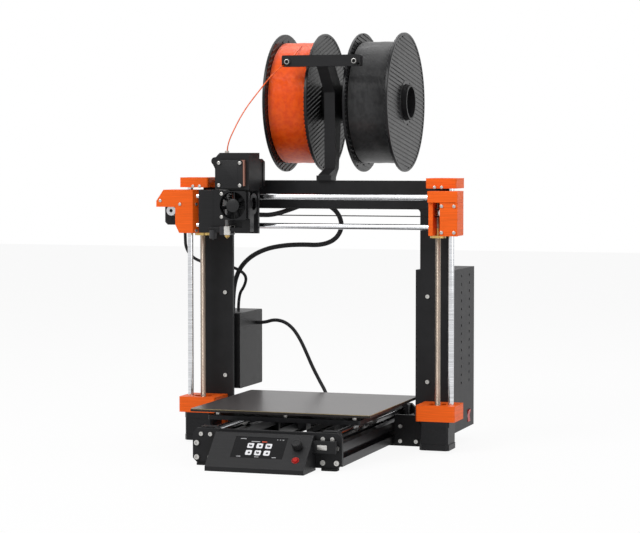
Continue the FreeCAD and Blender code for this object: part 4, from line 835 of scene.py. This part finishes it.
fitted("gantry_belt", [toothed_belt(*gantry_wheels, (0.0, 1.0, 0.0))],
       black_rubber, "gantry", ("x_belt",))
fitted("slide_belt", [toothed_belt(*slide_wheels, (1.0, 0.0, 0.0))],
       black_rubber, "frame", ("y_belt",))
bright_aluminium = drawn_metal("turned_aluminium", (0.60, 0.60, 0.61), 0.28, 1.0, (500.0, 500.0, 500.0))
dress(bright_aluminium, "x_pulley", "x_idler", "y_pulley", "y_idler")


# Power supply and electronics: a black steel case with rows of round vents behind the right leg, its
# end cover with the mains inlet and a rocker switch, and a printed case behind the left leg.

dress(coated("supply_case", (0.016, 0.016, 0.018), 0.48, 0.6, 0.05), "psu_case")


def moulded(name, colour, roughness, mottle=0.25):
    """Moulded plastic: an even gloss with a soft spark-eroded grain and slow flow marks."""
    return coated(name, colour, roughness, 0.8, 0.02, mottle)


red_plastic = moulded("red_plastic", (0.55, 0.02, 0.015), 0.3)
dress(red_plastic, "psu_rocker", "reset_button")


# Spools: moulded black flanges with straight raised ribs side by side over both faces of each, on a
# barrel. They hang on the arms of the post, and turn as the strand is drawn off.

spool_y = 95.0
spool_z = 487.0
spool_inner = 26.5
spool_outer = 93.0
flange_radius = 100.5
flange_bore = 26.0
flange_thick = 3.0
flange_relief = 1.0
rib_pitch = 6.0
rib_width = 2.6
barrel_radius = 40.0
winding_radius = 88.0
left_lean = 18.0
right_lean = -9.0


def rib_bars(x, out, lean, low_radius, high_radius):
    """Straight ribs over a ring: each is a low ridge along a chord, its ends on the outer circle, and
    parted in two where the chord crosses the inner circle."""
    shapes = []
    way = np.array([0.0, math.cos(lean), math.sin(lean)])
    square = np.array([0.0, -math.sin(lean), math.cos(lean)])
    centre = np.array([x, spool_y, spool_z])
    half = rib_width / 2
    crest = half * 0.55
    section = np.array([(-half, 0.0), (-crest, flange_relief), (crest, flange_relief), (half, 0.0)])
    ring = section[:, 0, None] * square + section[:, 1, None] * np.array([out, 0.0, 0.0])
    count = int(high_radius / rib_pitch)
    for offset in np.arange(-count, count + 1) * rib_pitch:
        reach = math.sqrt(max(0.0, high_radius ** 2 - (abs(offset) + half) ** 2))
        gap = math.sqrt(max(0.0, low_radius ** 2 - max(0.0, abs(offset) - half) ** 2))
        spans = [(-reach, -gap), (gap, reach)] if gap > 0 else [(-reach, reach)]
        for start, end in spans:
            if end - start > rib_width:
                shapes.append(lofted([centre + offset * square + at * way + ring for at in (start, end)]))
    return shapes


def spool_shapes(side, lean):
    """A spool: two turned flanges, each with a raised rim and hub ring, the barrel between, and ribs."""
    shapes = []
    low = spool_inner + flange_relief
    high = spool_outer - flange_relief
    for face, out in ((low, -1.0), (high, 1.0)):
        inward = face - out * flange_thick
        face_top = flange_thick + flange_relief
        rim = [(0.0, flange_bore), (flange_thick, flange_bore), (face_top, flange_bore + 1.0),
               (face_top, flange_bore + 5.0), (flange_thick, flange_bore + 6.0),
               (flange_thick, flange_radius - 4.2), (face_top, flange_radius - 3.2),
               (face_top, flange_radius - 0.8), (flange_thick, flange_radius),
               (0.4, flange_radius), (0.0, flange_radius - 0.6), (0.0, flange_bore)]
        shapes.append(turned(rim, (side * inward, spool_y, spool_z), (side * out, 0, 0), 96, False))
        shapes += rib_bars(side * face, side * out, lean, flange_bore + 5.5, flange_radius - 3.6)
        shapes += rib_bars(side * inward, -side * out, lean, winding_radius + 1.0, flange_radius - 0.6)
    wall = [(0.0, barrel_radius), (high - low - 2 * flange_thick, barrel_radius),
            (high - low - 2 * flange_thick, flange_bore), (0.0, flange_bore), (0.0, barrel_radius)]
    shapes.append(turned(wall, (side * (low + flange_thick), spool_y, spool_z), (side, 0, 0), 64, False))
    return shapes


gloss_black = coated("gloss_black_spool", (0.010, 0.010, 0.011), 0.26, 1.1, 0.02)
for side, lean, name, body in ((-1.0, left_lean, "left_spool", "spool_left"),
                               (1.0, right_lean, "right_spool", "spool_right")):
    fitted(name, spool_shapes(side, math.radians(lean)), gloss_black, body, (body,))


# Windings: the strand laid side by side in many layers, orange on the left spool and black on the
# right. Each turn shows as a round ridge, and the top layer crosses the one under it at a slant.

strand_pitch = 1.82
flange_gap = 0.1
crossing_width = 23.0


def wound(side):
    """Winding: over a grid of width and turn, the radius is a row of half-round ridges one strand
    apart, which a slow slant shifts, and a shallow wave lifts where the layer below crosses."""
    low = spool_inner + flange_relief + flange_thick + flange_gap
    high = spool_outer - flange_relief - flange_thick - flange_gap
    width = np.linspace(low, high, int((high - low) / strand_pitch * 8) + 1)
    turn = np.linspace(0.0, 2 * np.pi, 120, endpoint=False)
    shift = width[:, None] - low + strand_pitch * turn[None] / (2 * np.pi)
    ridge = abs(np.cos(np.pi * shift / strand_pitch))
    crossing = np.cos(2 * np.pi * (width[:, None] / crossing_width) + 3 * turn[None]) * 0.5 + 0.5
    radius = winding_radius - 0.7 * (1.0 - ridge) - 0.35 * crossing
    radius[[0, -1]] = barrel_radius + flange_gap
    places = np.stack([np.broadcast_to(side * width[:, None], radius.shape),
                       spool_y + radius * np.cos(turn)[None], spool_z + radius * np.sin(turn)[None]], axis=-1)
    return lofted(places, ends=False)


orange_wound = extruded_plastic("orange_winding", (0.90, 0.115, 0.004), (0.80, 0.075, 0.002), 0.34)
black_wound = extruded_plastic("black_winding", (0.030, 0.030, 0.031), (0.017, 0.017, 0.018), 0.36)
fitted("orange_winding", [wound(-1.0)], orange_wound, "spool_left", ("winding_left",),
       70.0)
fitted("black_winding", [wound(1.0)], black_wound, "spool_right", ("winding_right",), 70.0)
bar_spots = [(side * 49.5, -20.0, 542.5) for side in (-1, 1)]
screw_heads("guide_bar_screws", bar_spots, forward, 8.6, 3.6, "frame")


# Display unit: a printed wedge on the front plate, with a glass-fronted screen, a knob on a shaft, a
# red button and a memory stick in its side. The screen shows six plain tiles and no words.

wedge_front = -300.0
wedge_ridge = -258.0
wedge_low = 6.0
wedge_high = 46.0
wedge_lean = math.atan2(wedge_high - wedge_low, wedge_ridge - wedge_front)
screen_middle = (-1.5, 5.5)
glass_depth = 0.4
tile_columns = (-12.5, 0.0, 12.5)
tile_rows = (3.4, -8.2)
tile_rise = 0.12
mark_rise = 0.2
knob_spot = (51.0, 9.0)
knob_low = 1.4
knob_tall = 9.0
knob_radius = 7.0
flutes = 16
flute_depth = 0.8
button_spot = (53.0, -12.7)


def on_wedge(shape):
    """A shape laid out flat, x across, y up the slope and z outwards, put on the sloping face."""
    spots, faces = shape
    x, up, out = np.asarray(spots, float).T
    y = (wedge_front + wedge_ridge) / 2 + up * math.cos(wedge_lean) - out * math.sin(wedge_lean)
    z = (wedge_low + wedge_high) / 2 + up * math.sin(wedge_lean) + out * math.cos(wedge_lean)
    return np.stack([x, y, z], axis=-1), faces


def rounded_outline(width, height, corner, steps=5):
    """A rectangle's outline with round corners, about nought: four quarter circles in turn."""
    turn = np.linspace(0.0, np.pi / 2, steps)
    loops = []
    for quarter, (across, up) in enumerate(((1, 1), (-1, 1), (-1, -1), (1, -1))):
        angle = turn + quarter * np.pi / 2
        loops.append(np.stack([across * (width / 2 - corner) + corner * np.cos(angle),
                               up * (height / 2 - corner) + corner * np.sin(angle)], axis=-1))
    return np.concatenate(loops)


def plaque(middle, width, height, corner, low, high, bevel):
    """A flat plate with a bevelled rim, in a face's own layout: its outline drawn in at both rims."""
    rings = []
    for level, inset in ((low, 0.0), (high - bevel, 0.0), (high - bevel * 0.3, bevel * 0.3), (high, bevel)):
        outline = rounded_outline(width - 2 * inset, height - 2 * inset, max(0.05, corner - inset))
        rings.append(np.column_stack([outline + middle, np.full(len(outline), level)]))
    return lofted(rings)


def glowing(name, colour, strength):
    """A lit patch of the screen: its own light with the fine grid of the picture points in it."""
    material, tree, surface = finish(name, 0.25)
    grid = knot(tree, "ShaderNodeTexVoronoi", [("Vector", own_place(tree))], Scale=3500.0)
    stops = [(0.1, shaded(colour, 0.75)), (0.5, colour)]
    for socket in ("Base Color", "Emission Color"):
        tinted(tree, surface, grid.outputs["Distance"], stops, socket)
    surface.inputs["Emission Strength"].default_value = strength
    return material


def fluted_knob():
    """Knob: rings from its foot to its crown, whose radius dips with a cosine of flutes times the turn,
    deepest at the side and fading out at the crown's middle."""
    turn = np.linspace(0.0, 2 * np.pi, flutes * 8, endpoint=False)
    top = knob_low + knob_tall
    profile = np.array([(knob_low, 0.93, 0.0), (knob_low + 0.4, 1.0, 0.4), (top - 1.2, 0.96, 1.0),
                        (top - 0.3, 0.90, 0.9), (top, 0.80, 0.5), (top, 0.60, 0.0), (top - 0.5, 0.52, 0.0),
                        (top - 0.5, 0.02, 0.0)])
    dip = 0.5 - 0.5 * np.cos(flutes * turn)
    radius = knob_radius * profile[:, 1, None] - flute_depth * profile[:, 2, None] * dip[None]
    places = np.stack([knob_spot[0] + radius * np.cos(turn)[None], knob_spot[1] + radius * np.sin(turn)[None],
                       np.broadcast_to(profile[:, 0, None], radius.shape)], axis=-1)
    return lofted(places)


screen_glass = coated("screen_glass", (0.004, 0.004, 0.005), 0.08, 3.0, 0.001)
dress(screen_glass, "lcd_screen")
tile_face = -glass_depth + tile_rise
mark_face = -glass_depth + mark_rise
tile_spots = [(screen_middle[0] + across, screen_middle[1] + up)
              for up in tile_rows for across in tile_columns]
tiles = [on_wedge(plaque(spot, 8.6, 8.0, 1.4, -glass_depth, tile_face, 0.05)) for spot in tile_spots]
fitted("screen_tiles", tiles, glowing("tile_light", (0.62, 0.62, 0.64), 0.35), "frame")
marks = [plaque((x - 1.7, y + 0.4), 1.1, 3.6, 0.3, mark_face - 0.1, mark_face, 0.03)
         for x, y in tile_spots[::2]]
marks += [plaque((x + 0.6, y - 0.2), 3.4, 3.4, 1.6, mark_face - 0.1, mark_face, 0.03) for x, y in tile_spots]
tile_mark = glowing("tile_mark", (0.05, 0.05, 0.055), 0.1)
fitted("tile_marks", [on_wedge(mark) for mark in marks], tile_mark, "frame")


def screen_strip(across, up, width):
    """A short bright strip on the screen, placed from the screen's middle."""
    spot = (screen_middle[0] + across, screen_middle[1] + up)
    return on_wedge(plaque(spot, width, 1.1, 0.4, -glass_depth, tile_face, 0.04))


strips = [(-25.0, 14.4, 8.0), (22.0, 14.4, 1.6), (26.0, 14.4, 1.6), (30.0, 14.4, 2.4), (-7.0, 10.2, 12.0),
          (-25.0, -15.0, 6.0), (0.0, -15.0, 6.0), (24.0, -15.0, 6.0)]
strip_light = glowing("strip_light", (0.35, 0.35, 0.36), 0.25)
fitted("screen_strips", [screen_strip(*strip) for strip in strips], strip_light, "frame")
accent_light = glowing("accent_light", (0.7, 0.10, 0.05), 0.3)
fitted("accent_strip", [screen_strip(5.0, 10.2, 7.0)], accent_light, "frame")
knob_black = moulded("knob_black", (0.016, 0.016, 0.017), 0.4)
fitted("fluted_knob", [on_wedge(fluted_knob())], knob_black, "knob", ("knob",), 40.0)
ring_profile = [(0.0, 4.0), (0.55, 4.1), (0.7, 4.5), (0.55, 4.9), (0.0, 5.0)]
button_ring = turned(ring_profile, (*button_spot, 0.0), (0, 0, 1), 40)
fitted("button_ring", [on_wedge(button_ring)], red_plastic, "frame")
dress(moulded("stick_plastic", (0.012, 0.012, 0.013), 0.35), "usb_stick")
dress(zinc_plate, "encoder_shaft")


def upright(shape, y):
    """A flat layout, x across, y up and z outwards, stood up to face the front at a depth y."""
    spots, faces = shape
    across, up, out = np.asarray(spots, float).T
    return np.stack([across, y - out, up], axis=-1), faces


stick_front = -262.0
stick_plate = upright(plaque((80.5, 31.5), 13.5, 6.4, 0.8, 0.0, 0.25, 0.1), stick_front)
fitted("stick_plate", [stick_plate], zinc_plate, "frame")


# Head: the drive's printed body with its square cover, a fan over the heatsink, a blower at the side
# and the hot end with its brass tip in a pale silicone sock.

gear_middle = (-104.5, 384.4)
cover_face = -107.0
cover_side = 39.0
motor_pitch = 31.0
fan_middle = (-101.0, 341.0)
fan_front = -105.0
nozzle_spot = (-120.0, -76.0)
fan_screw_reach = 16.0
hub_radius = 9.3
sink_low = 311.5
sink_shades = (0.10, 0.16)
heater_shades = (0.035, 0.06)

cover_shapes = [upright(plaque(gear_middle, cover_side, cover_side, 3.0, -5.0, 0.0, 0.5), cover_face),
                upright(plaque(gear_middle, 24.0, 29.0, 1.2, -0.1, 0.25, 0.15), cover_face)]
fitted("gear_cover_plate", cover_shapes, black_print, "head", ("gear_cover",))
corner_spots = [(gear_middle[0] + dx * motor_pitch / 2, cover_face, gear_middle[1] + dz * motor_pitch / 2)
                for dx in (-1, 1) for dz in (-1, 1)]
screw_heads("gear_cover_screws", corner_spots, forward, 5.0, 2.2, "head")
fan_gloss = moulded("fan_gloss_black", (0.010, 0.010, 0.011), 0.3)
dress(fan_gloss, "fan_frame", "fan_rotor", "blower_housing", "blower_rotor")
hub_profile = [(-0.2, hub_radius), (0.5, hub_radius), (0.8, hub_radius - 0.5), (0.8, 0.05)]
hub_disc = turned(hub_profile, (fan_middle[0], fan_front + 1.0, fan_middle[1]), forward, 48)
hub_black = moulded("hub_disc", (0.020, 0.020, 0.021), 0.35)
fitted("fan_hub_disc", [hub_disc], hub_black, "fan_rotor")
fan_spots = [(fan_middle[0] - fan_screw_reach, fan_front, fan_middle[1] + dz)
             for dz in (-fan_screw_reach, fan_screw_reach)]
screw_heads("fan_screws", fan_spots, forward, 5.0, 1.6, "head")


def hot_end(name):
    """Heatsink and heater: sooty aluminium above, a darker block below, by height."""
    material, tree, surface = finish(name, 0.3, 1.0)
    place = own_place(tree)
    grain = noise(tree, place, 600.0, 3.0)
    sink = ramp(tree, grain, [(at, (level, level, level)) for at, level in enumerate(sink_shades)])
    heater = ramp(tree, grain, [(at, (level, level, level * 1.1)) for at, level in enumerate(heater_shades)])
    parted(tree, surface, above(tree, place, "Z", in_frame((0.0, 0.0, sink_low))[2]), heater, sink)
    raised(tree, surface, grain, 0.00003, 0.4)
    return material


dress(hot_end("hot_end"), "hotend")


# Trim of the head: a printed wing over the rods, a round bed sensor on its arm, a copper-toned strip
# beside the cover, a rib on the right side, the lever's round end with its screw, a pale collar where
# the strand goes in, and the silicone sock over the heater block.

nozzle_x, nozzle_y = nozzle_spot
wing_corners = (-170.0, -58.0, 301.0), (-147.0, -39.0, 361.6)
sensor_arm_corners = (-152.0, -66.0, 301.5), (-127.0, -57.0, 309.0)
rib_corners = (-80.6, -101.0, 322.0), (-78.8, -94.0, 360.5)
strip_corners = (-84.6, -107.3, 368.0), (-82.4, -101.5, 402.0)
strip_top_corners = (-89.0, -106.6, 401.0), (-82.4, -101.5, 404.0)
sock_corners = (-121.0, -86.6, 299.0), (-112.0, -65.0, 311.4)
sensor_middle = (-146.0, -64.0)
sensor_top = 305.0
sensor_length = 12.0
lever_end_middle = (-136.5, 402.5)
lever_front = -81.0
lever_thick = 10.0
collar_low = 413.8

eased(fitted("rod_wing", [block(*wing_corners)], black_print, "head"), edge_bevel)
sensor_body = [(0.0, 5.0), (sensor_length - 1.0, 5.0), (sensor_length, 4.4)]
downward = (0, 0, -1)
sensor = [turned(sensor_body, (*sensor_middle, sensor_top), downward, 40),
          turned([(0.0, 1.6), (1.5, 1.4)], (*sensor_middle, sensor_top - sensor_length), downward, 24)]
fitted("bed_sensor", sensor, moulded("sensor_grey", (0.045, 0.045, 0.048), 0.4), "head")
eased(fitted("sensor_arm", [block(*sensor_arm_corners)], black_print, "head"), edge_bevel)
shield_copper = drawn_metal("shield_copper", (0.34, 0.17, 0.13), 0.35, 0.7, (300.0, 300.0, 30.0))
shield_shapes = [block(*strip_corners), block(*strip_top_corners)]
fitted("shield_strip", shield_shapes, shield_copper, "head")
eased(fitted("side_ribs", [block(*rib_corners)], black_print, "head"), 0.4)
end_profile = [(0.0, 5.0), (0.6, 5.4), (lever_thick - 0.6, 5.4), (lever_thick, 5.0)]
end_x, end_z = lever_end_middle
lever_end = turned(end_profile, (end_x, lever_front + lever_thick, end_z), forward, 40)
fitted("lever_end", [lever_end], black_print, "idler_lever")
screw_heads("lever_screw", [(end_x, lever_front, end_z)], forward, 5.0, 1.4, "idler_lever")
collar_profile = [(0.0, 3.2), (2.2, 3.0), (3.4, 2.2), (3.4, 1.2), (0.0, 1.2)]
collar = turned(collar_profile, (nozzle_x, nozzle_y, collar_low), (0, 0, 1), 32)
fitted("strand_collar", [collar], moulded("collar_pale", (0.55, 0.50, 0.46), 0.4), "head")
silicone = moulded("pale_silicone", (0.70, 0.69, 0.66), 0.55)
eased(fitted("silicone_sock", [block(*sock_corners)], silicone, "head"), 0.8)
